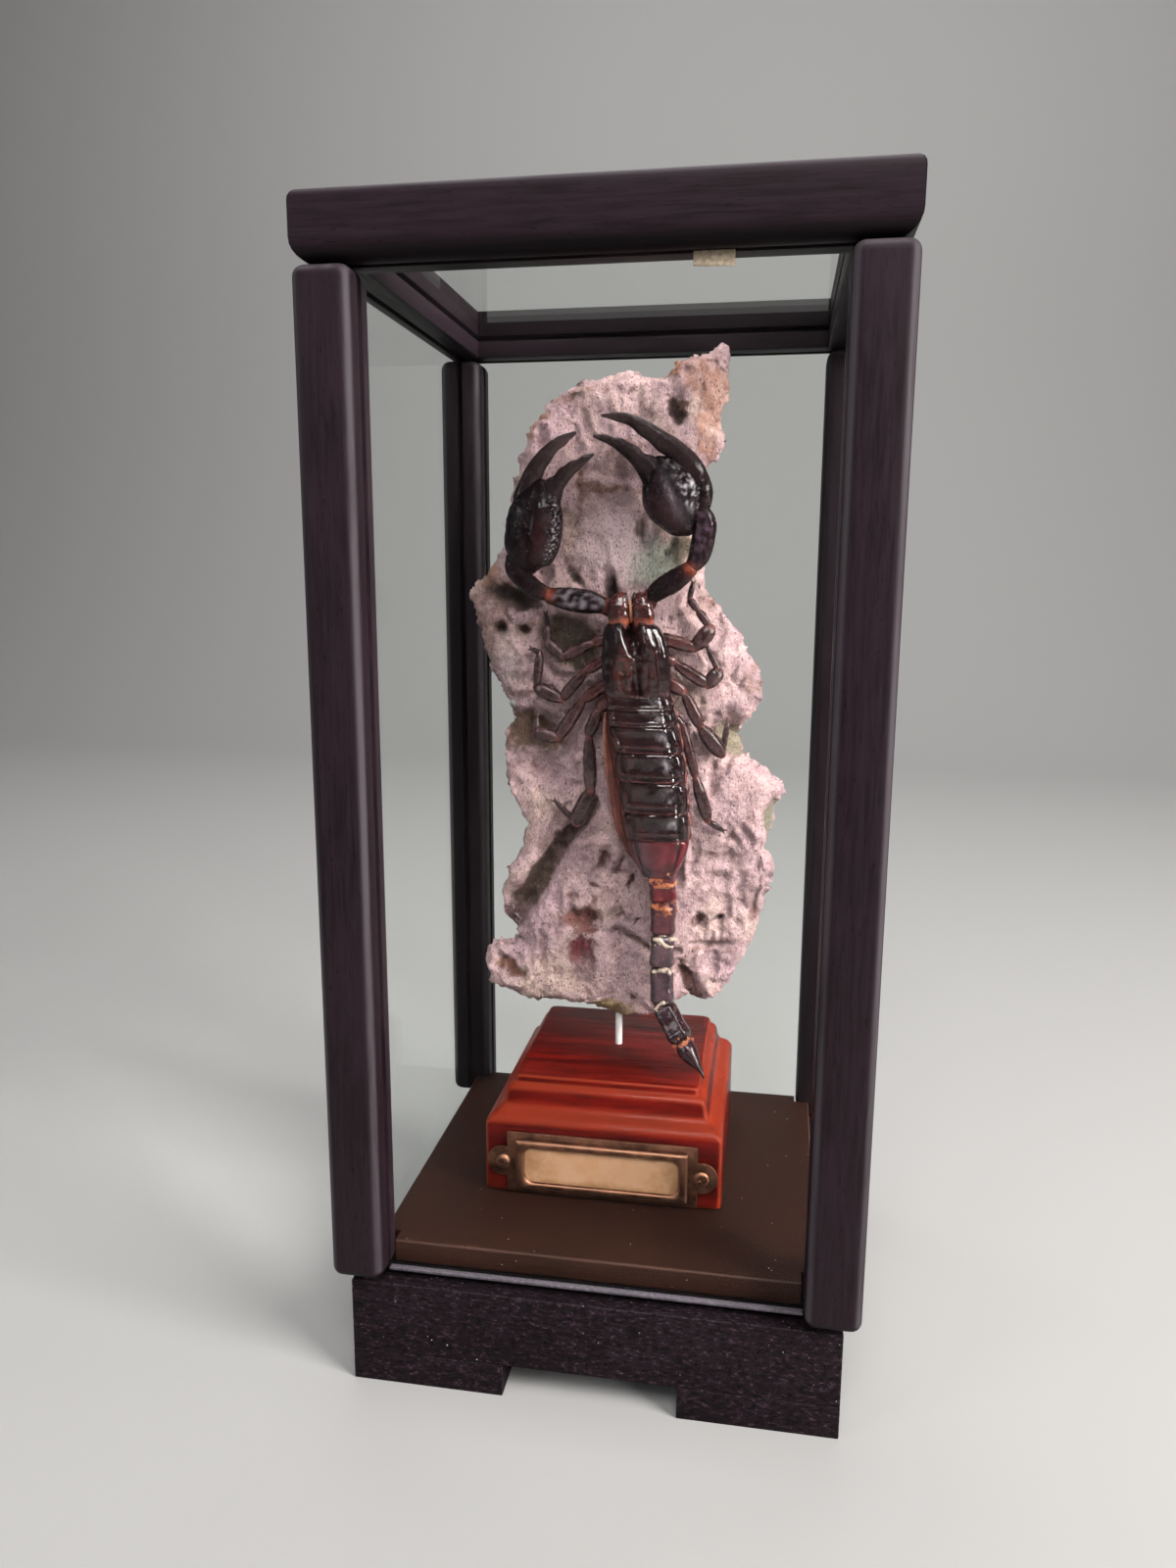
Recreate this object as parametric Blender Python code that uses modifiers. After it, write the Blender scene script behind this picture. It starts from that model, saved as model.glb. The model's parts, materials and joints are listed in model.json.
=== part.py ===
"""Scorpion specimen on a bark slab, in a small wooden case with a lift-off glass cover.

The case stands on the plane z = 0 with its front facing -Y and its centre over the origin.
"""
import math

import bmesh
import bpy
import numpy as np
from mathutils import Matrix, Vector, noise

MM = 0.001
GAP = 0.3 * MM
WELD = 0.01 * MM
SMOOTH_ANGLE = 35.0
BEVEL_ANGLE = 40.0

# Case
CASE_WIDTH = 126.0 * MM
CASE_DEPTH = 114.6 * MM
CASE_HEIGHT = 275.0 * MM
POST = 12.9 * MM
POST_BOTTOM = 29.8 * MM
POST_ROUND = 2.6 * MM
RAIL_HEIGHT = 14.0 * MM
POST_ROUND_STEPS = 2
RAIL_TOP_ROUND = 2.2 * MM
RAIL_LOW_ROUND = 4.6 * MM
RAIL_ROUND_STEPS = 4
GLASS = 1.8 * MM
GLASS_BITE = 3.2 * MM
GROOVE_SLACK = 0.35 * MM
TOP_GLASS_DROP = 8.2 * MM

# Base
FOOT_HEIGHT = 8.3 * MM
FOOT_LENGTH = 38.0 * MM
FOOT_DEPTH = 33.0 * MM
PLINTH_INSET = 3.7 * MM
PLINTH_TOP = 27.2 * MM
SEAT_INSET = 8.0 * MM
SEAT_TOP = 29.5 * MM
FLOOR_TOP = 35.7 * MM
FLOOR_MARGIN = 9.2 * MM
NOTCH_SLACK = 0.6 * MM
PLINTH_ROUND = 0.6 * MM
FOOT_ROUND = 0.5 * MM
FLOOR_ROUND = 0.5 * MM
BOARD_ROUND_STEPS = 2

# Stand
STAND_X = -1.9 * MM
STAND_Y = 9.5 * MM
STAND_SIDE = 63.0 * MM
STAND_HEIGHT = 30.3 * MM
STAND_CORNER = 1.6 * MM
STAND_CORNER_STEPS = 2
STAND_SMOOTH_ANGLE = 30.0
# Moulding, from the bottom edge up: how far in from the side, and how high
STAND_MOULDING = (
    (0.0, 0.0), (0.0, 19.0), (0.5, 20.4), (1.9, 21.6), (3.4, 22.6), (4.2, 23.9),
    (4.6, 25.7), (5.2, 27.4), (6.3, 28.3), (6.6, 29.7), (7.2, 30.3),
)
ROD_RADIUS = 1.0 * MM
ROD_HOLE_RADIUS = 1.35 * MM
ROD_IN_STAND = 14.0 * MM
ROD_TOP = 89.0 * MM
ROD_SIDES = 12
ROD_HOLE_SIDES = 14

# Label holder, drawn about its own centre on the stand's front
LABEL_Z = 45.1 * MM
PLATE_LENGTH = 50.4 * MM
PLATE_HEIGHT = 16.8 * MM
PLATE_THICK = 0.6 * MM
EAR_OFFSET = 26.3 * MM
EAR_RADIUS = 4.2 * MM
BEZEL_LENGTH = 45.5 * MM
BEZEL_HEIGHT = 13.6 * MM
BEZEL_DEPTH = 2.3 * MM
BEZEL_ROUND = 0.4 * MM
EAR_STEPS = 10
POCKET_LENGTH = 43.5 * MM
POCKET_HEIGHT = 12.0 * MM
POCKET_DEPTH = 1.0 * MM
WINDOW_LENGTH = 40.6 * MM
WINDOW_HEIGHT = 9.8 * MM
WINDOW_CLIP = 2.2 * MM
CARD_THICK = 0.4 * MM
SCREW_HEAD_RADIUS = 2.0 * MM
SCREW_HEAD_HEIGHT = 0.9 * MM
SCREW_SHANK_RADIUS = 0.9 * MM
SCREW_SHANK = 7.0 * MM
SCREW_TAPER_FROM = 0.8
SCREW_SIDES = 12
SCREW_DOME_STEPS = 3
SCREW_SLOT_HALF_LENGTH = 1.3 * MM
SCREW_SLOT_HALF_WIDTH = 0.26 * MM
SCREW_SLOT_DEPTH = 0.55 * MM

# Bark slab: a wall of bark standing on the rod, its edge drawn in x and z, clockwise from the horn
BARK_Y = 9.8 * MM
BARK_HALF = 6.0 * MM
BARK_FRONT_LIMIT = 3.8 * MM
BARK_EDGE_ROUND = 7.5 * MM
BARK_EDGE_SHARE = 0.42
BARK_VOXEL = 2.4 * MM
BARK_TRIANGLES = 3200
BARK_OUTLINE = (
    (23.5, 255.5), (24, 243), (22, 239), (23.5, 232), (20.5, 227.5), (17, 224), (17, 206), (19, 195),
    (24, 189), (29.5, 182.5), (31, 178), (34.5, 172.5), (35, 170), (33, 162.5), (28.5, 157.5),
    (30.5, 151.5), (35.5, 148), (41, 144), (42, 142), (39.5, 138), (38, 130), (37, 125.5), (39, 122.5),
    (38.5, 116), (35.5, 104.5), (32.5, 96), (29, 88.5), (25, 83), (21.5, 82), (17.5, 85.5), (14.5, 81.5),
    (8, 77), (1, 76), (-7.5, 78.5), (-17.5, 79.5), (-27.5, 79), (-33, 81.5), (-39, 83), (-40, 88.5),
    (-38, 94.5), (-32, 95), (-30, 97), (-31.5, 100.5), (-34, 103.5), (-34.5, 112), (-33, 116.5),
    (-28.5, 123.5), (-27, 130.5), (-32.5, 139), (-33.5, 147), (-34, 156.5), (-31, 159.5), (-32.5, 164.5),
    (-36.5, 171.5), (-39, 179), (-40.5, 184.5), (-43.5, 193.5), (-41.5, 196), (-38.5, 197.5), (-34, 204),
    (-32, 209), (-32, 218), (-28.5, 226.5), (-26.5, 235), (-22.5, 240), (-17.5, 244.5), (-11, 247.5),
    (-5, 248), (-1, 249.5), (2.5, 247.5), (9, 247.5), (11.5, 251), (17.5, 252.5),
)
# Hollows in the front: x, z, half width, half height, turn in degrees, depth
BARK_HOLLOWS = (
    (11.8, 239.5, 1.9, 4.4, 14, 4.5), (-31, 192.5, 6.5, 2.6, -12, 6.5), (-34.5, 184.5, 1.6, 1.6, 0, 4.0),
    (-28.5, 184, 1.5, 1.3, 0, 3.5), (-16.5, 181, 9.0, 6.5, -35, 6.0), (-26, 157.5, 9.0, 5.0, -30, 5.5),
    (-11.2, 104, 4.4, 2.8, -20, 2.4), (-12.2, 95, 3.6, 4.2, 0, 2.6), (40, 134, 3.5, 6.0, 10, 5.0),
    (28, 156.5, 6.0, 4.0, -45, 5.0), (21, 106, 1.7, 1.9, 0, 5.0), (26.5, 106.5, 1.5, 1.1, 20, 5.0),
    (30, 105.5, 0.8, 0.8, 0, 3.0), (18, 88, 2.2, 6.5, 25, 4.5), (-5, 196.5, 1.6, 4.0, 0, 3.0),
    (-35, 90, 3.0, 2.0, 0, 2.5), (22, 190, 3.0, 5.0, 0, 2.2), (30, 172, 4.0, 3.0, 30, 2.5),
)
# Furrows in the front: start x and z, end x and z, half width, depth
BARK_FURROWS = (
    (-9, 138, -19, 124, 2.6, 4.5), (-19, 124, -31.5, 103, 3.8, 7.0), (-2.5, 101, 7.5, 96, 1.6, 2.5),
    (7.5, 96, 15, 97, 1.6, 2.5), (15, 98, 33, 98.5, 1.5, 2.0), (-34, 152, -20, 145, 3.0, 2.5),
    (-14, 225.5, 15, 221.5, 1.6, 1.4), (-14, 219, 12, 215, 1.6, 1.0), (24, 160, 40, 146, 2.5, 2.5),
    (-33, 163, -21, 168, 2.0, 2.0), (4.2, 213, 3.2, 207, 0.8, 1.2), (-31, 205, -22, 199, 2.0, 2.2),
)
BARK_SWELL = 1.7 * MM
BARK_SWELL_SIZE = 26.0 * MM
BARK_LUMP = 0.8 * MM
BARK_LUMP_SIZE = 9.0 * MM
BARK_RAGGED = 0.9 * MM
BARK_RAGGED_SIZE = 6.0 * MM
# Shares of the swell and the lump at its back
BARK_BACK_SWELL = 1.6
BARK_BACK_LUMP = 0.7
# Where in the noise each of its sides is taken from
FRONT_SWELL_LAYER = 3.1
FRONT_LUMP_LAYER = 7.7
BACK_SWELL_LAYER = 21.3
BACK_LUMP_LAYER = 33.3
HOLLOW_REACH = 20.0
HOLLOW_POWER = 1.5
HOLLOW_FALL = 0.6
EDGE_DEPTH_SHARE = 0.35

# Scorpion, back towards -Y and head up. Body rings: middle x, z, half width, half thickness
BODY_Y = -1.4 * MM
CARAPACE = (
    (1.7, 186.8, 4.2, 2.2), (1.8, 185.8, 6.4, 3.3), (2.3, 183.5, 7.8, 4.0), (2.9, 179.5, 8.7, 4.5),
    (3.2, 175.0, 8.9, 4.7), (3.5, 170.5, 8.8, 4.5), (3.8, 167.5, 8.3, 3.9), (3.9, 166.4, 6.6, 2.8),
)
CARAPACE_FURROW = 1.8 * MM
FURROW_SHARE = 0.2
# Plates of the back: middle x and z of the front edge, half width, half thickness
BACK_PLATES = (
    (4.0, 167.8, 8.5, 4.2), (4.7, 164.0, 8.8, 4.4), (5.5, 159.9, 8.9, 4.5), (7.0, 153.0, 8.9, 4.6),
    (8.0, 145.3, 8.8, 4.6), (9.0, 137.0, 8.6, 4.5), (9.7, 129.8, 8.3, 4.2),
)
BACK_END = (9.8, 119.6, 4.2, 2.9)
PLATE_STEP = 0.94
PLATE_LAP = 0.25
PLATE_FULLEST = 0.35
LAST_PLATE_TAPER = 0.75
# Tail joints: x, y, z, half width; each segment runs from one to the next
TAIL = (
    (10.4, -1.0, 121.0, 3.5), (11.3, -1.0, 112.4, 3.4), (11.2, -1.0, 103.2, 3.2), (11.0, -1.2, 94.0, 3.1),
    (11.6, -3.0, 84.2, 3.0), (17.6, -8.0, 76.0, 2.9),
)
STING_BULB = (
    (17.4, -7.9, 76.3, 1.9), (18.8, -9.2, 74.2, 2.7), (20.1, -10.4, 72.9, 2.3), (21.1, -11.6, 71.9, 1.5),
)
STING_BARB = (
    (20.6, -11.0, 72.4, 1.6), (21.9, -12.4, 71.3, 0.9), (23.2, -13.8, 70.3, 0.55),
    (24.0, -14.8, 68.6, 0.2),
)
# Shapes along one piece: share of its length, share of its half width
TAIL_SHAPE = ((-0.03, 0.72), (0.08, 0.92), (0.5, 1.0), (0.9, 1.02), (1.03, 0.78))
LEG_SHAPE = ((0.0, 0.6), (0.2, 0.95), (0.75, 1.0), (1.0, 0.65))
LEG_OVERLAP = 0.35
# Fangs: x, z, half width from the root up
FANGS = (
    ((-0.9, 185.6, 2.2), (-1.2, 188.0, 2.7), (-1.1, 191.5, 2.6), (-0.6, 194.2, 1.5)),
    ((4.4, 185.6, 2.2), (4.7, 188.0, 2.7), (4.3, 191.5, 2.6), (3.6, 194.2, 1.5)),
)
# Arms: lists of x, y, z, half width for each joint-to-joint piece, left then right
ARM_LEFT = (
    ((-0.5, -0.5, 187.5, 2.0), (-3.0, -1.0, 189.8, 2.5), (-6.0, -1.8, 190.8, 2.2)),
    ((-5.2, -1.8, 190.6, 2.0), (-8.0, -2.4, 191.3, 2.8), (-14.0, -3.1, 192.2, 3.0),
     (-19.6, -3.5, 193.1, 2.2)),
    ((-18.6, -3.5, 193.2, 1.5), (-22.0, -3.7, 194.3, 2.1), (-25.8, -4.0, 197.0, 2.3),
     (-28.4, -4.0, 200.2, 2.3), (-28.8, -4.0, 203.0, 1.8)),
)
CLAW_LEFT = (
    (-24.2, -3.9, 199.6, 2.2), (-24.3, -4.0, 201.3, 5.2), (-23.8, -4.0, 205.5, 7.0),
    (-23.2, -4.0, 210.5, 7.3), (-22.3, -4.0, 215.5, 6.4), (-21.7, -4.0, 219.0, 4.6),
    (-21.5, -4.0, 221.0, 2.8),
)
CLAW_RIGHT = (
    (16.8, -3.9, 209.6, 2.0), (14.6, -4.0, 212.0, 5.0), (13.0, -4.0, 215.2, 7.2),
    (11.2, -4.0, 219.0, 7.5),
    (9.6, -4.0, 222.2, 6.3), (8.2, -4.0, 224.6, 4.2), (7.4, -4.0, 225.8, 2.4),
)
FINGERS = (
    ((-28.3, -4.0, 207.0, 2.2), (-27.4, -4.0, 212.5, 2.7), (-25.7, -4.0, 218.0, 2.6),
     (-23.2, -4.0, 223.6, 2.3), (-20.2, -4.0, 227.8, 1.9), (-16.6, -3.8, 231.0, 1.4),
     (-12.6, -3.4, 233.2, 0.5)),
    ((-19.4, -4.0, 215.5, 3.4), (-18.0, -4.0, 219.8, 2.5), (-15.2, -4.0, 223.2, 1.8),
     (-11.8, -3.8, 225.8, 1.3), (-8.1, -3.4, 228.0, 0.4)),
    ((18.2, -4.0, 212.5, 2.2), (19.0, -4.0, 218.0, 3.0), (16.9, -4.0, 223.5, 3.1),
     (13.0, -4.0, 227.9, 2.8), (8.8, -4.0, 231.1, 2.3), (4.5, -4.0, 234.0, 1.9),
     (-0.5, -3.8, 236.5, 1.3), (-6.0, -3.4, 237.2, 0.4)),
    ((9.0, -4.0, 219.5, 4.6), (6.5, -4.0, 223.4, 3.5), (3.6, -4.0, 226.4, 2.4), (0.6, -4.0, 228.9, 1.8),
     (-3.0, -3.8, 230.9, 1.3), (-8.0, -3.4, 232.4, 0.4)),
)
ARM_RIGHT = (
    ((3.6, -0.5, 187.5, 2.0), (5.4, -1.0, 191.0, 2.4), (7.2, -1.8, 193.6, 2.1)),
    ((6.4, -1.8, 192.6, 1.8), (8.8, -2.3, 194.6, 2.5), (13.0, -3.0, 197.2, 2.7),
     (17.0, -3.5, 200.2, 2.0)),
    ((16.6, -3.5, 199.8, 1.6), (18.6, -3.7, 202.6, 2.6), (19.8, -4.0, 207.0, 2.9),
     (20.0, -4.0, 211.5, 2.8), (18.4, -4.0, 214.6, 2.2)),
)
CLAW_THICK = 0.62
ARM_THICK = 0.82
TAIL_THICK = 0.9
BULB_THICK = 0.95
FANG_FORWARD = 0.6
# Legs, front to back: joints as x, y, z, then the half width of each piece between them
LEGS = (
    (((-4.5, 0.4, 182.0), (-8.5, 0.2, 181.0), (-16.5, 0.6, 177.0), (-21.0, 1.2, 181.0),
      (-21.0, 1.8, 185.0), (-21.5, 2.4, 188.2)), (1.3, 1.4, 1.4, 1.1, 0.8)),
    (((-4.0, 0.4, 177.5), (-10.5, 0.4, 173.5), (-17.0, 0.6, 166.0), (-23.8, 1.2, 169.0),
      (-23.0, 1.8, 178.0), (-25.4, 2.4, 179.0)), (1.3, 1.4, 1.8, 1.1, 0.8)),
    (((-3.5, 0.4, 171.5), (-11.0, 0.4, 166.0), (-18.0, 0.6, 155.5), (-24.2, 1.2, 156.8),
      (-24.0, 2.2, 161.0)), (1.5, 1.6, 1.9, 1.0)),
    (((-3.0, 0.4, 167.0), (-7.0, 0.4, 163.5), (-9.5, 0.4, 156.5), (-9.0, 0.6, 141.5), (-13.0, 1.4, 132.5),
      (-19.0, 2.2, 138.0)), (1.5, 1.5, 1.6, 2.1, 0.9)),
    (((7.5, 0.4, 183.0), (18.0, 0.4, 180.0), (22.0, 1.0, 185.0), (18.5, 1.6, 189.5), (16.2, 2.2, 192.4),
      (17.0, 2.4, 196.3)), (1.6, 1.9, 1.0, 0.9, 0.8)),
    (((8.0, 0.4, 178.5), (13.0, 0.4, 176.0), (21.5, 0.6, 170.5), (24.3, 1.4, 174.0), (21.2, 2.2, 180.0)),
     (1.3, 1.5, 1.8, 0.9)),
    (((8.5, 0.4, 173.0), (15.5, 0.4, 168.5), (20.0, 0.6, 159.5), (25.6, 1.2, 152.5), (27.0, 2.2, 161.0)),
     (1.6, 1.5, 1.9, 0.9)),
    (((9.0, 0.4, 166.5), (15.5, 0.4, 159.5), (19.0, 0.6, 146.0), (22.5, 1.2, 134.5), (26.4, 2.2, 131.8)),
     (1.1, 1.2, 1.5, 0.9)),
)
# Dried flap of skin beside the back plates: x, z, half width
FLAP = (
    (-3.9, 165.0, 0.8), (-4.6, 157.0, 2.0), (-3.6, 147.0, 2.6),
    (-1.6, 137.0, 2.4), (1.0, 129.0, 1.5), (2.6, 124.0, 0.6),
)
FLAP_Y = 1.2 * MM
FLAP_HALF = 0.5 * MM
# Points round each part of the scorpion, and how square its sections are
CARAPACE_SIDES = 20
BACK_SIDES = 16
CLAW_SIDES = 12
LIMB_SIDES = 8
FINGER_SIDES = 7
LEG_SIDES = 6
BODY_SQUARENESS = 2.3
LIMB_SQUARENESS = 2.2
FLAP_SQUARENESS = 2.0


# Collections and materials
def clear_scene():
    for leftover in list(bpy.data.objects):
        bpy.data.objects.remove(leftover, do_unlink=True)


def make_collection(name):
    collection = bpy.data.collections.new(name)
    bpy.context.scene.collection.children.link(collection)
    return collection


def make_material(name, colour, roughness, metallic=0.0, transmission=0.0):
    material = bpy.data.materials.new(name)
    material.use_nodes = True
    shader = material.node_tree.nodes["Principled BSDF"]
    shader.inputs["Base Color"].default_value = (*colour, 1.0)
    shader.inputs["Roughness"].default_value = roughness
    shader.inputs["Metallic"].default_value = metallic
    shader.inputs["Transmission Weight"].default_value = transmission
    return material


clear_scene()
PIECES = make_collection("scorpion specimen in display case")
CUTTERS = make_collection("cutters")
BLACK_WOOD = make_material("black stained wood", (0.022, 0.016, 0.020), 0.5)
BROWN_WOOD = make_material("dark brown wood", (0.035, 0.022, 0.015), 0.45)
RED_WOOD = make_material("red mahogany stain", (0.22, 0.022, 0.010), 0.2)
CLEAR_GLASS = make_material("clear glass", (0.95, 0.98, 0.96), 0.02, transmission=1.0)
BRONZE = make_material("dark bronze", (0.16, 0.12, 0.09), 0.35, metallic=1.0)
PARCHMENT = make_material("parchment card", (0.66, 0.48, 0.28), 0.85)
WHITE_ROD = make_material("off white rod", (0.72, 0.70, 0.68), 0.4)
BARK_GREY = make_material("weathered bark", (0.42, 0.30, 0.25), 0.95)
SHELL_BLACK = make_material("glossy black shell", (0.018, 0.009, 0.009), 0.18)


# Mesh helpers
def link_mesh(name, bm, material, collection=PIECES, origin=None):
    mesh = bpy.data.meshes.new(name)
    bm.to_mesh(mesh)
    bm.free()
    mesh.materials.append(material)
    piece = bpy.data.objects.new(name, mesh)
    if origin is not None:
        piece.location = origin
    collection.objects.link(piece)
    return piece


def box_mesh(size):
    bm = bmesh.new()
    bmesh.ops.create_cube(bm, size=1.0)
    bmesh.ops.scale(bm, verts=bm.verts, vec=size)
    return bm


def add_bevel(piece, width, segments):
    bevel = piece.modifiers.new("rounded edges", "BEVEL")
    bevel.width = width
    bevel.segments = segments
    bevel.limit_method = "ANGLE"
    bevel.angle_limit = math.radians(BEVEL_ANGLE)


def box(name, low, high, material, round_edge=0.0, segments=1):
    low, high = Vector(low), Vector(high)
    piece = link_mesh(name, box_mesh(high - low), material, origin=(low + high) / 2)
    if round_edge:
        add_bevel(piece, round_edge, segments)
    return piece


def hide_cutter(cutter):
    cutter.hide_render = True
    cutter.display_type = "WIRE"
    return cutter


def box_cutter(name, low, high):
    low, high = Vector(low), Vector(high)
    return hide_cutter(link_mesh(name, box_mesh(high - low), BLACK_WOOD, CUTTERS, (low + high) / 2))


def rod_cutter(name, radius, length, centre, sides, turn=None):
    bm = bmesh.new()
    bmesh.ops.create_cone(bm, cap_ends=True, segments=sides, radius1=radius, radius2=radius, depth=length)
    if turn:
        bmesh.ops.rotate(bm, verts=bm.verts, matrix=turn)
    return hide_cutter(link_mesh(name, bm, BLACK_WOOD, CUTTERS, centre))


def cut(piece, *cutters):
    for cutter in cutters:
        boolean = piece.modifiers.new(cutter.name, "BOOLEAN")
        boolean.operation = "DIFFERENCE"
        boolean.solver = "EXACT"
        boolean.object = cutter


def smooth(piece, angle=SMOOTH_ANGLE):
    piece.data.shade_smooth()
    piece.data.set_sharp_from_angle(angle=math.radians(angle))


def loft(bm, rings):
    """Skin a run of rings with equal counts of points, and close both ends."""
    rows = [[bm.verts.new(point) for point in ring] for ring in rings]
    count = len(rows[0])
    for near, far in zip(rows, rows[1:]):
        for i in range(count):
            j = (i + 1) % count
            bm.faces.new((near[i], near[j], far[j], far[i]))
    bm.faces.new(reversed(rows[0]))
    bm.faces.new(rows[-1])
    bmesh.ops.recalc_face_normals(bm, faces=bm.faces)


# Case cover
HALF_X = CASE_WIDTH / 2
HALF_Y = CASE_DEPTH / 2
RAIL_BOTTOM = CASE_HEIGHT - RAIL_HEIGHT
INNER_X = HALF_X - POST
INNER_Y = HALF_Y - POST
PANE_X = HALF_X - POST / 2
PANE_Y = HALF_Y - POST / 2
PANE_TOP = RAIL_BOTTOM + GLASS_BITE
TOP_PANE_Z = CASE_HEIGHT - TOP_GLASS_DROP
SIDES = {"left": -1, "right": 1}
ENDS = {"front": -1, "back": 1}


def groove_cutters():
    half = GLASS / 2 + GROOVE_SLACK
    reach_x = INNER_X + GLASS_BITE + GROOVE_SLACK
    reach_y = INNER_Y + GLASS_BITE + GROOVE_SLACK
    low, high = POST_BOTTOM - POST, PANE_TOP + GROOVE_SLACK
    cutters = {}
    for end, sign in ENDS.items():
        y = sign * PANE_Y
        cutters[end] = box_cutter(f"groove {end}", (-reach_x, y - half, low), (reach_x, y + half, high))
    for side, sign in SIDES.items():
        x = sign * PANE_X
        cutters[side] = box_cutter(f"groove {side}", (x - half, -reach_y, low), (x + half, reach_y, high))
    cutters["top"] = box_cutter("groove top", (-reach_x, -reach_y, TOP_PANE_Z - half),
                                (reach_x, reach_y, TOP_PANE_Z + half))
    return cutters


def make_posts(grooves):
    for end, end_sign in ENDS.items():
        for side, side_sign in SIDES.items():
            x, y = side_sign * PANE_X, end_sign * PANE_Y
            low = (x - POST / 2, y - POST / 2, POST_BOTTOM)
            high = (x + POST / 2, y + POST / 2, RAIL_BOTTOM - GAP)
            post = box(f"post_{end}_{side}", low, high, BLACK_WOOD, POST_ROUND, POST_ROUND_STEPS)
            smooth(post)
            cut(post, grooves[end], grooves[side])


def rail_mesh(length):
    """A rail along X with its outer face towards -Y, rounded and cut to a mitre at both ends."""
    bm = box_mesh((length, POST, RAIL_HEIGHT))

    def long_edge(z_sign, y_sign):
        return [edge for edge in bm.edges
                if all(v.co.y * y_sign > 0 and v.co.z * z_sign > 0 for v in edge.verts)]

    for z_sign, radius in ((1, RAIL_TOP_ROUND), (-1, RAIL_LOW_ROUND)):
        bmesh.ops.bevel(bm, geom=long_edge(z_sign, -1), offset=radius, segments=RAIL_ROUND_STEPS,
                        profile=0.5, affect="EDGES")
    for sign in (-1, 1):
        corner = Vector((sign * (length / 2 - GAP / 2), -POST / 2, 0))
        cutting = bmesh.ops.bisect_plane(
            bm, geom=bm.verts[:] + bm.edges[:] + bm.faces[:], plane_co=corner,
            plane_no=Vector((sign, 1, 0)), clear_outer=True)
        rim = [item for item in cutting["geom_cut"] if isinstance(item, bmesh.types.BMEdge)]
        bmesh.ops.holes_fill(bm, edges=rim)
    bmesh.ops.recalc_face_normals(bm, faces=bm.faces)
    return bm


def make_rails(grooves):
    z = RAIL_BOTTOM + RAIL_HEIGHT / 2
    places = {
        "front": (CASE_WIDTH, 0.0, (0, -PANE_Y, z)),
        "right": (CASE_DEPTH, 90.0, (PANE_X, 0, z)),
        "back": (CASE_WIDTH, 180.0, (0, PANE_Y, z)),
        "left": (CASE_DEPTH, 270.0, (-PANE_X, 0, z)),
    }
    for name, (length, turn, centre) in places.items():
        rail = link_mesh(f"rail_{name}", rail_mesh(length), BLACK_WOOD, origin=centre)
        rail.rotation_euler.z = math.radians(turn)
        smooth(rail)
        cut(rail, grooves[name], grooves["top"])


def make_panes():
    half = GLASS / 2
    reach_x = INNER_X + GLASS_BITE
    reach_y = INNER_Y + GLASS_BITE
    for end, sign in ENDS.items():
        y = sign * PANE_Y
        box(f"glass_{end}", (-reach_x, y - half, POST_BOTTOM), (reach_x, y + half, PANE_TOP),
            CLEAR_GLASS)
    for side, sign in SIDES.items():
        x = sign * PANE_X
        box(f"glass_{side}", (x - half, -reach_y, POST_BOTTOM), (x + half, reach_y, PANE_TOP),
            CLEAR_GLASS)
    box("glass_top", (-reach_x, -reach_y, TOP_PANE_Z - half), (reach_x, reach_y, TOP_PANE_Z + half),
        CLEAR_GLASS)


# Base of the case
def make_base():
    edge_x, edge_y = HALF_X - PLINTH_INSET, HALF_Y - PLINTH_INSET
    box("plinth", (-edge_x, -edge_y, FOOT_HEIGHT + GAP), (edge_x, edge_y, PLINTH_TOP), BLACK_WOOD,
        PLINTH_ROUND, BOARD_ROUND_STEPS)
    for end, end_sign in ENDS.items():
        for side, side_sign in SIDES.items():
            xs = sorted((side_sign * edge_x, side_sign * (edge_x - FOOT_LENGTH)))
            ys = sorted((end_sign * edge_y, end_sign * (edge_y - FOOT_DEPTH)))
            box(f"foot_{end}_{side}", (xs[0], ys[0], 0), (xs[1], ys[1], FOOT_HEIGHT), BLACK_WOOD,
                FOOT_ROUND)
    seat_x, seat_y = HALF_X - SEAT_INSET, HALF_Y - SEAT_INSET
    box("cover_seat", (-seat_x, -seat_y, PLINTH_TOP + GAP), (seat_x, seat_y, SEAT_TOP), BLACK_WOOD)
    floor_x, floor_y = HALF_X - FLOOR_MARGIN, HALF_Y - FLOOR_MARGIN
    floor = box("floor_board", (-floor_x, -floor_y, SEAT_TOP + GAP), (floor_x, floor_y, FLOOR_TOP),
                BROWN_WOOD, FLOOR_ROUND, BOARD_ROUND_STEPS)
    for end, end_sign in ENDS.items():
        for side, side_sign in SIDES.items():
            xs = sorted((side_sign * (INNER_X - NOTCH_SLACK), side_sign * HALF_X))
            ys = sorted((end_sign * (INNER_Y - NOTCH_SLACK), end_sign * HALF_Y))
            notch = box_cutter(f"post notch {end} {side}", (xs[0], ys[0], PLINTH_TOP),
                               (xs[1], ys[1], CASE_HEIGHT))
            cut(floor, notch)


# Stand, rod and label
STAND_BOTTOM = FLOOR_TOP + GAP
STAND_TOP = STAND_BOTTOM + STAND_HEIGHT
STAND_FRONT = STAND_Y - STAND_SIDE / 2
LABEL_BACK = STAND_FRONT - GAP


def rounded_square(half, radius, z):
    ring = []
    steps = STAND_CORNER_STEPS
    for quarter in range(4):
        start = quarter * math.pi / 2
        middle = start + math.pi / 4
        reach = (half - radius) * math.sqrt(2)
        cx, cy = reach * math.cos(middle), reach * math.sin(middle)
        for i in range(steps + 1):
            angle = start + i / steps * math.pi / 2
            ring.append(Vector((cx + radius * math.cos(angle), cy + radius * math.sin(angle), z)))
    return ring


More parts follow.
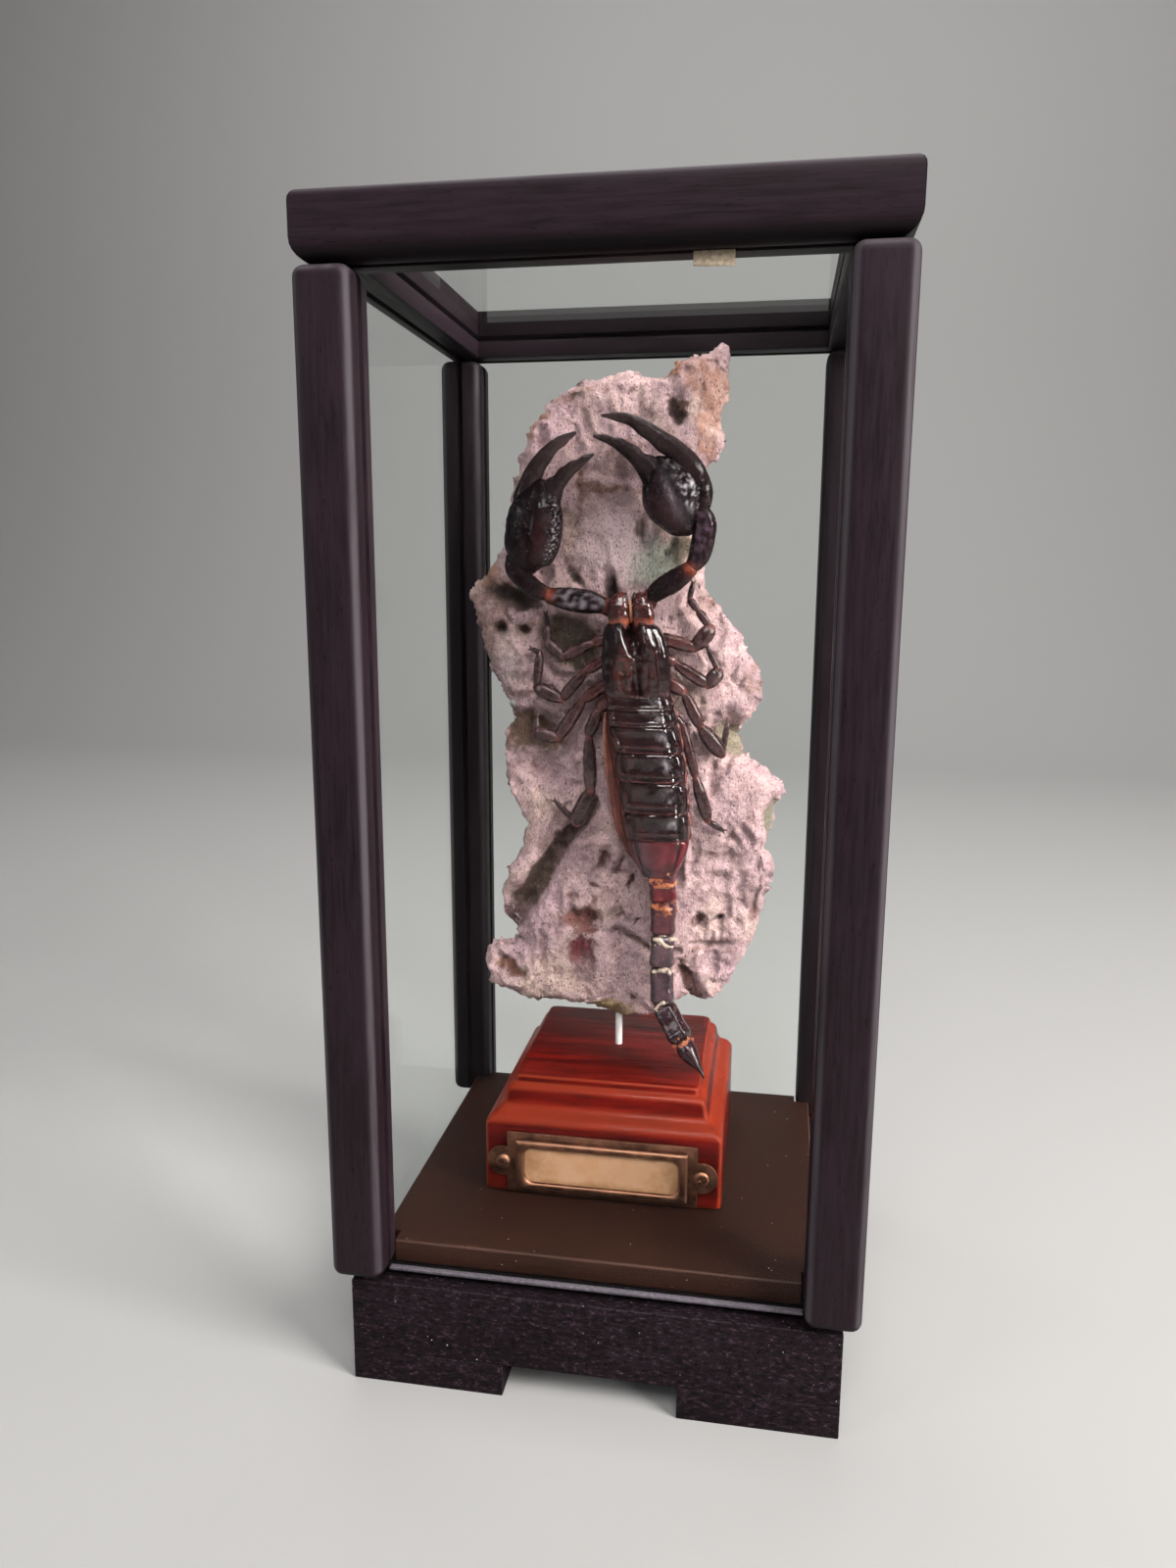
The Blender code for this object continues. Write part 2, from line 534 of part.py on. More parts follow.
def make_stand(rod_hole, screw_holes):
    bm = bmesh.new()
    loft(bm, [rounded_square(STAND_SIDE / 2 - inset * MM, STAND_CORNER, height * MM)
              for inset, height in STAND_MOULDING])
    stand = link_mesh("stand", bm, RED_WOOD, origin=(STAND_X, STAND_Y, STAND_BOTTOM))
    smooth(stand, STAND_SMOOTH_ANGLE)
    cut(stand, rod_hole, *screw_holes)


def make_rod():
    low = STAND_TOP - ROD_IN_STAND + GAP
    bm = bmesh.new()
    bmesh.ops.create_cone(bm, cap_ends=True, segments=ROD_SIDES, radius1=ROD_RADIUS,
                          radius2=ROD_RADIUS, depth=ROD_TOP - low)
    rod = link_mesh("rod", bm, WHITE_ROD, origin=(STAND_X, STAND_Y, (ROD_TOP + low) / 2))
    smooth(rod)


def flat_outline(name, outline, thickness, centre, material, collection=PIECES):
    """A flat outline in x and z, given thickness along Y about the centre."""
    curve = bpy.data.curves.new(name, "CURVE")
    curve.dimensions = "2D"
    curve.fill_mode = "BOTH"
    curve.extrude = thickness / 2
    spline = curve.splines.new("POLY")
    spline.points.add(len(outline) - 1)
    for point, (x, z) in zip(spline.points, outline):
        point.co = (x, z, 0, 1)
    spline.use_cyclic_u = True
    sketch = bpy.data.objects.new(name + " sketch", curve)
    sketch.matrix_world = Matrix.Translation(centre) @ Matrix.Rotation(math.pi / 2, 4, "X")
    collection.objects.link(sketch)
    bpy.context.view_layer.update()
    mesh = bpy.data.meshes.new_from_object(sketch.evaluated_get(bpy.context.evaluated_depsgraph_get()))
    bm = bmesh.new()
    bm.from_mesh(mesh)
    bmesh.ops.remove_doubles(bm, verts=bm.verts, dist=WELD)
    bmesh.ops.recalc_face_normals(bm, faces=bm.faces)
    place = sketch.matrix_world.copy()
    bpy.data.objects.remove(sketch, do_unlink=True)
    piece = link_mesh(name, bm, material, collection)
    piece.matrix_world = place
    return piece


def plate_outline():
    """The flange: a rectangle with a half round ear on each end."""
    half_x, half_z = PLATE_LENGTH / 2, PLATE_HEIGHT / 2
    outline = []
    for sign in (1, -1):
        outline.append((sign * half_x, -sign * half_z))
        rise = math.sqrt(max(EAR_RADIUS ** 2 - (EAR_OFFSET - half_x) ** 2, 0.0))
        sweep = math.pi - math.atan2(rise, EAR_OFFSET - half_x)
        for i in range(EAR_STEPS + 1):
            angle = -sweep + i / EAR_STEPS * 2 * sweep
            x = EAR_OFFSET + EAR_RADIUS * math.cos(angle)
            outline.append((sign * x, sign * EAR_RADIUS * math.sin(angle)))
        outline.append((sign * half_x, sign * half_z))
    return outline


def clipped_rectangle(length, height, clip):
    x, z = length / 2, height / 2
    return [(x, -z + clip), (x, z - clip), (x - clip, z), (clip - x, z),
            (-x, z - clip), (-x, clip - z), (clip - x, -z), (x - clip, -z)]


def make_label(screw_holes):
    def spot(depth_in_front):
        return Vector((STAND_X, LABEL_BACK - depth_in_front, LABEL_Z))

    holder = flat_outline("label_holder", plate_outline(), PLATE_THICK, spot(PLATE_THICK / 2), BRONZE)
    bezel_reach = Vector((BEZEL_LENGTH / 2, 0, BEZEL_HEIGHT / 2))
    bezel = box("label bezel", spot(BEZEL_DEPTH) - bezel_reach, spot(PLATE_THICK / 2) + bezel_reach,
                BRONZE, BEZEL_ROUND)
    PIECES.objects.unlink(bezel)
    CUTTERS.objects.link(bezel)
    hide_cutter(bezel)
    join = holder.modifiers.new("raised bezel", "BOOLEAN")
    join.operation = "UNION"
    join.solver = "EXACT"
    join.object = bezel
    pocket_middle = spot(PLATE_THICK + POCKET_DEPTH / 2)
    reach = Vector((POCKET_LENGTH / 2, POCKET_DEPTH / 2, POCKET_HEIGHT / 2))
    pocket = box_cutter("label pocket", pocket_middle - reach, pocket_middle + reach)
    window_outline = clipped_rectangle(WINDOW_LENGTH, WINDOW_HEIGHT, WINDOW_CLIP)
    window_middle = spot(PLATE_THICK + POCKET_DEPTH / 2 + BEZEL_DEPTH)
    window = flat_outline("label window", window_outline, 2 * BEZEL_DEPTH, window_middle, BRONZE, CUTTERS)
    hide_cutter(window)
    cut(holder, pocket, window, *screw_holes)

    card_middle = spot(PLATE_THICK + POCKET_DEPTH / 2)
    card_half = reach - Vector((GAP, 0, GAP))
    card_half.y = CARD_THICK / 2
    box("label_card", card_middle - card_half, card_middle + card_half, PARCHMENT)


def screw_place(sign):
    return Vector((STAND_X + sign * EAR_OFFSET, LABEL_BACK - PLATE_THICK - GAP, LABEL_Z))


def make_screw(name, sign):
    """A domed screw with its shank along +Y and a cross pressed in its head."""
    profile = [(0.0, -SCREW_HEAD_HEIGHT)]
    for i in range(1, SCREW_DOME_STEPS + 1):
        angle = i / SCREW_DOME_STEPS * math.pi / 2
        profile.append((SCREW_HEAD_RADIUS * math.sin(angle), -SCREW_HEAD_HEIGHT * math.cos(angle)))
    profile.append((SCREW_SHANK_RADIUS, 0.0))
    profile.append((SCREW_SHANK_RADIUS, SCREW_SHANK * SCREW_TAPER_FROM))
    profile.append((0.0, SCREW_SHANK))
    bm = bmesh.new()
    chain = [bm.verts.new((x, 0, -y)) for x, y in profile]
    for a, b in zip(chain, chain[1:]):
        bm.edges.new((a, b))
    bmesh.ops.spin(bm, geom=bm.verts[:] + bm.edges[:], cent=(0, 0, 0), axis=(0, 0, 1), angle=2 * math.pi,
                   steps=SCREW_SIDES, use_duplicate=False)
    bmesh.ops.remove_doubles(bm, verts=bm.verts, dist=WELD)
    bmesh.ops.recalc_face_normals(bm, faces=bm.faces)
    bmesh.ops.rotate(bm, verts=bm.verts, matrix=Matrix.Rotation(math.pi / 2, 3, "X"))
    place = screw_place(sign)
    screw = link_mesh(name, bm, BRONZE, origin=place)
    smooth(screw)
    across = (SCREW_SLOT_HALF_LENGTH, SCREW_SLOT_HALF_WIDTH)
    upright = (SCREW_SLOT_HALF_WIDTH, SCREW_SLOT_HALF_LENGTH)
    for label, (half_x, half_z) in (("across", across), ("upright", upright)):
        reach = Vector((half_x, SCREW_SLOT_DEPTH, half_z))
        middle = place - Vector((0, SCREW_HEAD_HEIGHT, 0))
        cut(screw, box_cutter(f"{name} slot {label}", middle - reach, middle + reach))


# Bark
def edge_distance(points, outline):
    """Distance of each point from a closed outline, and the direction away from its nearest edge."""
    start = np.asarray(outline)
    end = np.roll(start, -1, axis=0)
    run = end - start
    length_squared = (run ** 2).sum(axis=1)
    best = np.full(len(points), 1e9)
    away = np.zeros((len(points), 2))
    for a, along, squared in zip(start, run, length_squared):
        share = np.clip(((points - a) @ along) / squared, 0.0, 1.0)
        offset = points - (a + share[:, None] * along)
        distance = np.sqrt((offset ** 2).sum(axis=1))
        closer = distance < best
        best = np.where(closer, distance, best)
        away = np.where(closer[:, None], offset / np.maximum(distance, 1e-9)[:, None], away)
    return best, away


def bark_depth(x, z):
    """How far the bark's front is sunk at a spot, in metres, by its hollows, furrows and swells."""
    depth = 0.0
    for cx, cz, rx, rz, turn, deep in BARK_HOLLOWS:
        dx, dz = x / MM - cx, z / MM - cz
        if max(abs(dx), abs(dz)) > HOLLOW_REACH:
            continue
        c, s = math.cos(math.radians(turn)), math.sin(math.radians(turn))
        u, v = (dx * c + dz * s) / rx, (dz * c - dx * s) / rz
        depth = max(depth, deep * MM * math.exp(-(u * u + v * v) ** HOLLOW_POWER * HOLLOW_FALL))
    for ax, az, bx, bz, half, deep in BARK_FURROWS:
        run = Vector((bx - ax, bz - az))
        spot = Vector((x / MM - ax, z / MM - az))
        share = min(max(spot.dot(run) / run.length_squared, 0.0), 1.0)
        off = (spot - run * share).length / half
        depth = max(depth, deep * MM * math.exp(-off * off))
    swell = noise.noise(Vector((x, FRONT_SWELL_LAYER, z)) / BARK_SWELL_SIZE) * BARK_SWELL
    lump = noise.noise(Vector((x, FRONT_LUMP_LAYER, z)) / BARK_LUMP_SIZE) * BARK_LUMP
    return depth + swell + lump


def make_bark(rod_hole):
    outline = [(x * MM, z * MM) for x, z in BARK_OUTLINE]
    slab = flat_outline("bark", outline, 2 * BARK_HALF, Vector((0, BARK_Y, 0)), BARK_GREY)
    remesh = slab.modifiers.new("even mesh", "REMESH")
    remesh.mode = "VOXEL"
    remesh.voxel_size = BARK_VOXEL
    bpy.context.view_layer.update()
    even = bpy.data.meshes.new_from_object(slab.evaluated_get(bpy.context.evaluated_depsgraph_get()))
    even.transform(slab.matrix_world)
    bm = bmesh.new()
    bm.from_mesh(even)
    bpy.data.objects.remove(slab, do_unlink=True)
    flat = np.array([(v.co.x, v.co.z) for v in bm.verts])
    distance, inward = edge_distance(flat, outline)
    for vert, inside, direction in zip(bm.verts, distance, inward):
        x, y, z = vert.co
        share = (y - BARK_Y) / BARK_HALF
        rounding = min(inside / BARK_EDGE_ROUND, 1.0)
        thick = BARK_EDGE_SHARE + (1 - BARK_EDGE_SHARE) * math.sqrt(1 - (1 - rounding) ** 2)
        y = BARK_Y + share * BARK_HALF * thick
        if share < 0:
            y += -share * bark_depth(x, z) * (EDGE_DEPTH_SHARE + (1 - EDGE_DEPTH_SHARE) * rounding)
            y = max(y, BARK_FRONT_LIMIT)
        else:
            swell = noise.noise(Vector((x, BACK_SWELL_LAYER, z)) / BARK_SWELL_SIZE) * BARK_BACK_SWELL
            lump = noise.noise(Vector((x, BACK_LUMP_LAYER, z)) / BARK_LUMP_SIZE) * BARK_BACK_LUMP
            y += share * (swell + lump) * BARK_SWELL
        spot = Vector((x, y * 2, z)) / BARK_RAGGED_SIZE
        ragged = noise.noise(spot) * BARK_RAGGED * (1 - rounding)
        vert.co = (x + direction[0] * ragged, y, z + direction[1] * ragged)
    bark = link_mesh("bark", bm, BARK_GREY)
    fewer = bark.modifiers.new("fewer faces", "DECIMATE")
    triangles = sum(len(face.vertices) - 2 for face in bark.data.polygons)
    fewer.ratio = min(1.0, BARK_TRIANGLES / triangles)
    cut(bark, rod_hole)


# Scorpion
def superellipse(sides, power):
    """Points of a squarish ellipse of unit half sizes."""
    ring = []
    for i in range(sides):
        angle = 2 * math.pi * i / sides
        c, s = math.cos(angle), math.sin(angle)
        ring.append((math.copysign(abs(c) ** (2 / power), c), math.copysign(abs(s) ** (2 / power), s)))
    return ring


def limb_rings(stations, thickness, sides):
    """Rings across a limb: stations are x, y, z and half width in millimetres."""
    places = [Vector(station[:3]) * MM for station in stations]
    rings = []
    for i, station in enumerate(stations):
        ahead = places[min(i + 1, len(places) - 1)] - places[max(i - 1, 0)]
        ahead.normalize()
        depth = Vector((0, 1, 0))
        depth = (depth - ahead * depth.dot(ahead)).normalized()
        across = depth.cross(ahead)
        width = station[3] * MM
        rings.append([places[i] + across * width * c + depth * width * thickness * s
                      for c, s in superellipse(sides, LIMB_SQUARENESS)])
    return rings


def limb(name, stations, thickness=1.0, sides=LIMB_SIDES):
    bm = bmesh.new()
    loft(bm, limb_rings(stations, thickness, sides))
    return link_mesh(name, bm, SHELL_BLACK, CUTTERS)


def spindle(start, end, half_width):
    """Stations of one leg piece: narrow at the joints, fullest past its middle."""
    start, end = Vector(start), Vector(end)
    along = (end - start).normalized() * half_width * LEG_OVERLAP
    start, end = start - along, end + along
    return [(*start.lerp(end, share), half_width * full) for share, full in LEG_SHAPE]


def body_ring(x, z, half_width, half_thick, sides, furrow=0.0):
    ring = []
    for c, s in superellipse(sides, BODY_SQUARENESS):
        groove = furrow * math.exp(-(c / FURROW_SHARE) ** 2) if s < 0 else 0.0
        y = BODY_Y + half_thick * MM * s + groove
        ring.append(Vector((x * MM + half_width * MM * c, y, z * MM)))
    return ring


def carapace_part():
    bm = bmesh.new()
    loft(bm, [body_ring(x, z, w, t, CARAPACE_SIDES, CARAPACE_FURROW) for x, z, w, t in CARAPACE])
    return link_mesh("carapace", bm, SHELL_BLACK, CUTTERS)


def back_part():
    """The plated back: each plate lifts towards its rear edge and steps down to the next."""
    rings = []
    plates = [*BACK_PLATES, BACK_END]
    for (x, z, w, t), (nx, nz, nw, nt) in zip(plates, plates[1:]):
        rings.append(body_ring(x, z - PLATE_LAP, w * PLATE_STEP, t * PLATE_STEP, BACK_SIDES))
        full_x, full_z = x + (nx - x) * PLATE_FULLEST, z + (nz - z) * PLATE_FULLEST
        rings.append(body_ring(full_x, full_z, w, t, BACK_SIDES))
        if (nx, nz, nw, nt) != BACK_END:
            rings.append(body_ring(nx, nz + PLATE_LAP, nw, nt, BACK_SIDES))
        else:
            low_x, low_z = x + (nx - x) * LAST_PLATE_TAPER, z + (nz - z) * LAST_PLATE_TAPER
            rings.append(body_ring(low_x, low_z, (w * 2 + nw) / 3, (t * 2 + nt) / 3, BACK_SIDES))
            rings.append(body_ring(nx, nz, nw, nt, BACK_SIDES))
    bm = bmesh.new()
    loft(bm, rings)
    return link_mesh("back", bm, SHELL_BLACK, CUTTERS)


def tail_parts():
    parts = []
    for i, ((ax, ay, az, aw), (bx, by, bz, bw)) in enumerate(zip(TAIL, TAIL[1:])):
        start, end = Vector((ax, ay, az)), Vector((bx, by, bz))
        stations = [(*start.lerp(end, share), (aw + (bw - aw) * share) * full)
                    for share, full in TAIL_SHAPE]
        parts.append(limb(f"tail {i}", stations, TAIL_THICK))
    parts.append(limb("sting bulb", STING_BULB, BULB_THICK))
    parts.append(limb("sting barb", STING_BARB, sides=LEG_SIDES))
    return parts


def arm_parts():
    parts = []
    for side, arm in (("left", ARM_LEFT), ("right", ARM_RIGHT)):
        for i, piece in enumerate(arm):
            parts.append(limb(f"arm {side} {i}", piece, ARM_THICK))
    parts.append(limb("claw left", CLAW_LEFT, CLAW_THICK, CLAW_SIDES))
    parts.append(limb("claw right", CLAW_RIGHT, CLAW_THICK, CLAW_SIDES))
    for i, finger in enumerate(FINGERS):
        parts.append(limb(f"finger {i}", finger, ARM_THICK, FINGER_SIDES))
    for i, fang in enumerate(FANGS):
        stations = [(x, BODY_Y / MM - FANG_FORWARD, z, w) for x, z, w in fang]
        parts.append(limb(f"fang {i}", stations))
    return parts


def leg_parts():
    parts = []
    for i, (joints, widths) in enumerate(LEGS):
        for k, (start, end, width) in enumerate(zip(joints, joints[1:], widths)):
            parts.append(limb(f"leg {i} {k}", spindle(start, end, width), sides=LEG_SIDES))
    return parts


def flap_part():
    section = superellipse(LIMB_SIDES, FLAP_SQUARENESS)
    bm = bmesh.new()
    loft(bm, [[Vector((x * MM + half * MM * c, FLAP_Y + FLAP_HALF * s, z * MM)) for c, s in section]
              for x, z, half in FLAP])
    return link_mesh("flap", bm, SHELL_BLACK, CUTTERS)


def make_scorpion():
    parts = [back_part()] + tail_parts() + arm_parts() + leg_parts() + [flap_part()]
    whole = carapace_part()
    CUTTERS.objects.unlink(whole)
    PIECES.objects.link(whole)
    whole.name = "scorpion"
    joined = make_collection("scorpion parts")
    for part in parts:
        CUTTERS.objects.unlink(part)
        joined.objects.link(part)
        hide_cutter(part)
    union = whole.modifiers.new("fuse parts", "BOOLEAN")
    union.operation = "UNION"
    union.solver = "EXACT"
    union.operand_type = "COLLECTION"
    union.collection = joined
    smooth(whole)


def main():
    grooves = groove_cutters()
    make_base()
    make_posts(grooves)
    make_rails(grooves)
    make_panes()
    hole_top, hole_bottom = ROD_TOP + GAP, STAND_TOP - ROD_IN_STAND
    hole_middle = Vector((STAND_X, STAND_Y, (hole_top + hole_bottom) / 2))
    rod_hole = rod_cutter("rod hole", ROD_HOLE_RADIUS, hole_top - hole_bottom, hole_middle,
                          ROD_HOLE_SIDES)
    turn = Matrix.Rotation(math.pi / 2, 3, "X")
    screw_holes = []
    for side, sign in SIDES.items():
        centre = screw_place(sign) + Vector((0, SCREW_SHANK / 2, 0))
        screw_holes.append(rod_cutter(f"screw hole {side}", SCREW_SHANK_RADIUS + GAP,
                                      SCREW_SHANK + 2 * GAP, centre, SCREW_SIDES, turn))
        make_screw(f"label_screw_{side}", sign)
    make_stand(rod_hole, screw_holes)
    make_label(screw_holes)
    make_rod()
    make_bark(rod_hole)
    make_scorpion()


main()
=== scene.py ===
"""Scorpion specimen on bark in a small glass case: the finished pieces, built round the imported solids."""
import json
import math

import bmesh
import bpy
import numpy as np
from mathutils import Matrix, Vector, noise

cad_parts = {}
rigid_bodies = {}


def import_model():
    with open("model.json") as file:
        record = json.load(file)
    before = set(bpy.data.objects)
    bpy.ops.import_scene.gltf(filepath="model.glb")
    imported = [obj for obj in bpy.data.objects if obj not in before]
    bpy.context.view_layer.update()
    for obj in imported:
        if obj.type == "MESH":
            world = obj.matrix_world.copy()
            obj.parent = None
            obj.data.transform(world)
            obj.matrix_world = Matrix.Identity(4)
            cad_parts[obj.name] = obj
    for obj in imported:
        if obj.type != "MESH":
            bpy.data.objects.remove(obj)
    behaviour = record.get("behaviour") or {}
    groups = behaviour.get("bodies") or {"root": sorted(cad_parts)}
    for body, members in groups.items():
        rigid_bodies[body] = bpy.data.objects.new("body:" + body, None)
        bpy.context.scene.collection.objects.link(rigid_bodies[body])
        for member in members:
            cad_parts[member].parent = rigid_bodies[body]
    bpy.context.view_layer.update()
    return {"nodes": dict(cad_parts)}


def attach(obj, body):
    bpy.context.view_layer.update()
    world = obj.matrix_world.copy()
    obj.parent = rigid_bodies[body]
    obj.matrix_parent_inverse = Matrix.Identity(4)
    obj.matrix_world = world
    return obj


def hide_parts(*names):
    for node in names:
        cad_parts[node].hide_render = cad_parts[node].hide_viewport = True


bl_info = {
    "name": "Scorpion specimen in display case",
    "version": (1, 0, 0),
    "blender": (4, 5, 0),
    "location": "3D View > Sidebar > Specimen",
    "description": "Builds a scorpion mounted on bark in a wooden case with a glass cover",
    "category": "Object",
}

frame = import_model()
NODES = frame["nodes"]
MM = 0.001
GAP = 0.3 * MM

# Case
CASE_WIDTH = 126.0 * MM
CASE_DEPTH = 114.6 * MM
CASE_HEIGHT = 275.0 * MM
HALF_X = CASE_WIDTH / 2
HALF_Y = CASE_DEPTH / 2
POST = 12.9 * MM
POST_BOTTOM = 29.8 * MM
POST_ROUND = 2.6 * MM
RAIL_HEIGHT = 14.0 * MM
RAIL_BOTTOM = CASE_HEIGHT - RAIL_HEIGHT
GLASS = 1.8 * MM
GLASS_BITE = 3.2 * MM
GROOVE_SLACK = 0.35 * MM
TOP_PANE_Z = CASE_HEIGHT - 8.2 * MM
GROUND_EDGE_HEIGHT = 0.65 * MM
GROUND_EDGE_SKIN = 0.04 * MM
GROUND_EDGE_SLACK = 0.1 * MM
INNER_X = HALF_X - POST
INNER_Y = HALF_Y - POST
PANE_X = HALF_X - POST / 2
PANE_Y = HALF_Y - POST / 2
PANE_TOP = RAIL_BOTTOM + GLASS_BITE
PLINTH_EDGE_X = HALF_X - 3.7 * MM
PLINTH_EDGE_Y = HALF_Y - 3.7 * MM
PLINTH_TOP = 27.2 * MM
FOOT_HEIGHT = 8.3 * MM
FOOT_LENGTH = 38.0 * MM
FOOT_DEPTH = 33.0 * MM
SEAT_TOP = 29.5 * MM
FLOOR_TOP = 35.7 * MM
FLOOR_INSET = 9.2 * MM
NOTCH_SLACK = 0.6 * MM
SIDES = {"left": -1, "right": 1}
ENDS = {"front": -1, "back": 1}

# Stand and rod
STAND_X = -1.9 * MM
STAND_Y = 9.5 * MM
STAND_SIDE = 63.0 * MM
STAND_BOTTOM = FLOOR_TOP + GAP
STAND_TOP = STAND_BOTTOM + 30.3 * MM
STAND_FRONT = STAND_Y - STAND_SIDE / 2
# From the bottom edge up: how far in from the side, and how high, in millimetres
STAND_MOULDING = (
    (0.5, 0), (0, 0.5), (0, 18.6), (0.15, 19.2), (0.6, 20), (1.2, 20.8), (2, 21.4), (2.9, 22), (3.6, 22.7),
    (4.1, 23.6), (4.4, 24.7), (4.6, 25.9), (4.8, 26.7), (5.2, 27.4), (5.8, 28), (6.3, 28.3), (6.5, 28.6),
    (6.6, 29.3), (6.8, 29.9), (7.3, 30.3),
)
ROD_RADIUS = 1.0 * MM
ROD_BOTTOM = STAND_TOP - 13.7 * MM
ROD_TOP = 89.0 * MM

# Label holder
LABEL_Z = 45.1 * MM
LABEL_BACK = STAND_FRONT - GAP
PLATE_THICK = 0.6 * MM
EAR_OFFSET = 26.3 * MM
EAR_RADIUS = 4.2 * MM
SCREW_HEAD_RADIUS = 2.0 * MM
SCREW_HEAD_HEIGHT = 0.9 * MM
# Half length and half height in millimetres: the plate without its ears, the card, and as much of it as shows
PLATE_HALF = (25.2, 8.4)
CARD_HALF = (21.4, 5.7)
CARD_SHOWN = (19.9, 4.8)
# The raised frame from the back out: half length, half height, corner radius, depth in front of the stand
BEZEL_LEVELS = (
    (22.75, 6.8, 0.35, 0.5), (22.75, 6.8, 0.35, 1.5), (22.6, 6.65, 0.4, 1.9), (22.2, 6.3, 0.5, 2.2),
    (21.8, 5.9, 0.9, 2.3), (21.2, 5.4, 1.9, 2.28), (20.7, 5.05, 2.4, 2.1), (20.35, 4.92, 2.6, 1.75),
    (20.3, 4.9, 2.6, 1.32), (20.4, 4.95, 2.6, 0.5),
)

# Bark: its edge in x and z, clockwise from the horn, in millimetres
BARK_Y = 9.8
BARK_HALF = 6.0
BARK_FRONT_LIMIT = 3.6
BARK_EDGE_ROUND = 7.5
BARK_EDGE_SHARE = 0.42
BARK_OUTLINE = (
    (23.5, 255.5), (24, 243), (22, 239), (23.5, 232), (20.5, 227.5), (17, 224), (17, 206), (19, 195),
    (24, 189), (29.5, 182.5), (31, 178), (34.5, 172.5), (35, 170), (33, 162.5), (28.5, 157.5), (30.5, 151.5),
    (35.5, 148), (41, 144), (42, 142), (39.5, 138), (38, 130), (37, 125.5), (39, 122.5), (38.5, 116),
    (35.5, 104.5), (32.5, 96), (29, 88.5), (25, 83), (21.5, 82), (17.5, 85.5), (14.5, 81.5), (8, 77), (1, 76),
    (-7.5, 78.5), (-17.5, 79.5), (-27.5, 79), (-33, 81.5), (-39, 83), (-40, 88.5), (-38, 94.5), (-32, 95),
    (-30, 97), (-31.5, 100.5), (-34, 103.5), (-34.5, 112), (-33, 116.5), (-28.5, 123.5), (-27, 130.5),
    (-32.5, 139), (-33.5, 147), (-34, 156.5), (-31, 159.5), (-32.5, 164.5), (-36.5, 171.5), (-39, 179),
    (-40.5, 184.5), (-43.5, 193.5), (-41.5, 196), (-38.5, 197.5), (-34, 204), (-32, 209), (-32, 218),
    (-28.5, 226.5), (-26.5, 235), (-22.5, 240), (-17.5, 244.5), (-11, 247.5), (-5, 248), (-1, 249.5),
    (2.5, 247.5), (9, 247.5), (11.5, 251), (17.5, 252.5),
)
# Hollows in its front: x, z, half width, half height, turn in degrees, depth
BARK_HOLLOWS = (
    (11.8, 239.5, 1.9, 4.4, 14, 4.5), (-31, 192.5, 6.5, 2.6, -12, 6.5), (-34.5, 184.5, 1.6, 1.6, 0, 4),
    (-28.5, 184, 1.5, 1.3, 0, 3.5), (-16.5, 181, 9, 6.5, -35, 6), (-26, 157.5, 9, 5, -30, 5.5),
    (-11.2, 104, 4.4, 2.8, -20, 2.4), (-12.2, 95, 3.6, 4.2, 0, 2.6), (40, 134, 3.5, 6, 10, 5),
    (28, 156.5, 6, 4, -45, 5), (20.7, 106.1, 1.3, 1.6, 0, 4), (26.1, 106.7, 1.2, 0.8, 20, 4.5),
    (29.3, 105.5, 0.5, 0.5, 0, 1.2), (18, 88, 2.2, 6.5, 25, 4.5), (-5, 196.5, 1.6, 4, 0, 3),
    (-35, 90, 3, 2, 0, 2.5), (22, 190, 3, 5, 0, 2.2), (30, 172, 4, 3, 30, 2.5),
)
# Furrows in its front: start x and z, end x and z, half width, depth
BARK_FURROWS = (
    (-9, 138, -19, 124, 1.9, 4.5), (-19, 124, -31.5, 103, 3, 7.5), (-2.5, 101, 7.5, 96, 1.6, 2.5),
    (7.5, 96, 15, 97, 1.6, 2.5), (16, 99, 33, 99.4, 1, 1.3), (-34, 152, -20, 145, 3, 2.5),
    (-14, 225.5, 15, 221.5, 1.6, 1.4), (-14, 219, 12, 215, 1.6, 1), (24, 160, 40, 146, 2.5, 2.5),
    (-33, 163, -21, 168, 2, 2), (4.2, 213, 3.2, 207, 0.6, 1.2), (-31, 205, -22, 199, 2, 2.2),
)
# Small pits and cracks that only the finished bark has, as hollows
BARK_PITS = (
    (2, 83, 0.9, 0.9, 0, 1.6), (3.5, 210, 0.45, 2.8, 8, 1.6), (5.2, 197, 0.4, 1.6, 0, 1),
    (-14, 198, 0.7, 2.6, 42, 1.8), (-4.5, 193, 1, 3.2, 0, 2), (13.5, 248.5, 1.2, 0.8, 20, 1.4),
    (-2.1, 120, 0.6, 2.4, -20, 1.2), (1.4, 115.4, 0.6, 2.2, -15, 1.4), (3.4, 104.8, 1.1, 0.5, 30, 1.2),
    (-8.8, 113.9, 2.4, 0.7, -15, 1.1), (-14.5, 111, 1.6, 0.7, 20, 0.9), (20, 236, 2.2, 0.7, 5, 1.4),
    (-36, 88.5, 0.9, 0.9, 0, 1.8), (-1.5, 105.5, 1.4, 0.5, 35, 1.3), (7, 120, 0.6, 0.8, 0, 1),
    (18.5, 199, 0.6, 0.6, 0, 1.2), (27.5, 137.5, 0.9, 2.2, -10, 0.8), (34, 108.5, 1, 2.8, -12, 1.6),
    (-23, 110.5, 0.9, 0.6, 10, 1.2), (-5.5, 121.5, 1.5, 3.2, -12, 1.6), (-18, 118.5, 1, 0.7, 0, 1),
    (-27.5, 121, 1, 2, -20, 1), (-25, 87, 1.1, 0.8, 0, 0.9), (-33, 188.5, 0.6, 3, 30, 1.8),
    (-37, 201, 2.4, 1, 0, 1.2), (30, 189, 0.5, 2.2, 40, 0.8),
)
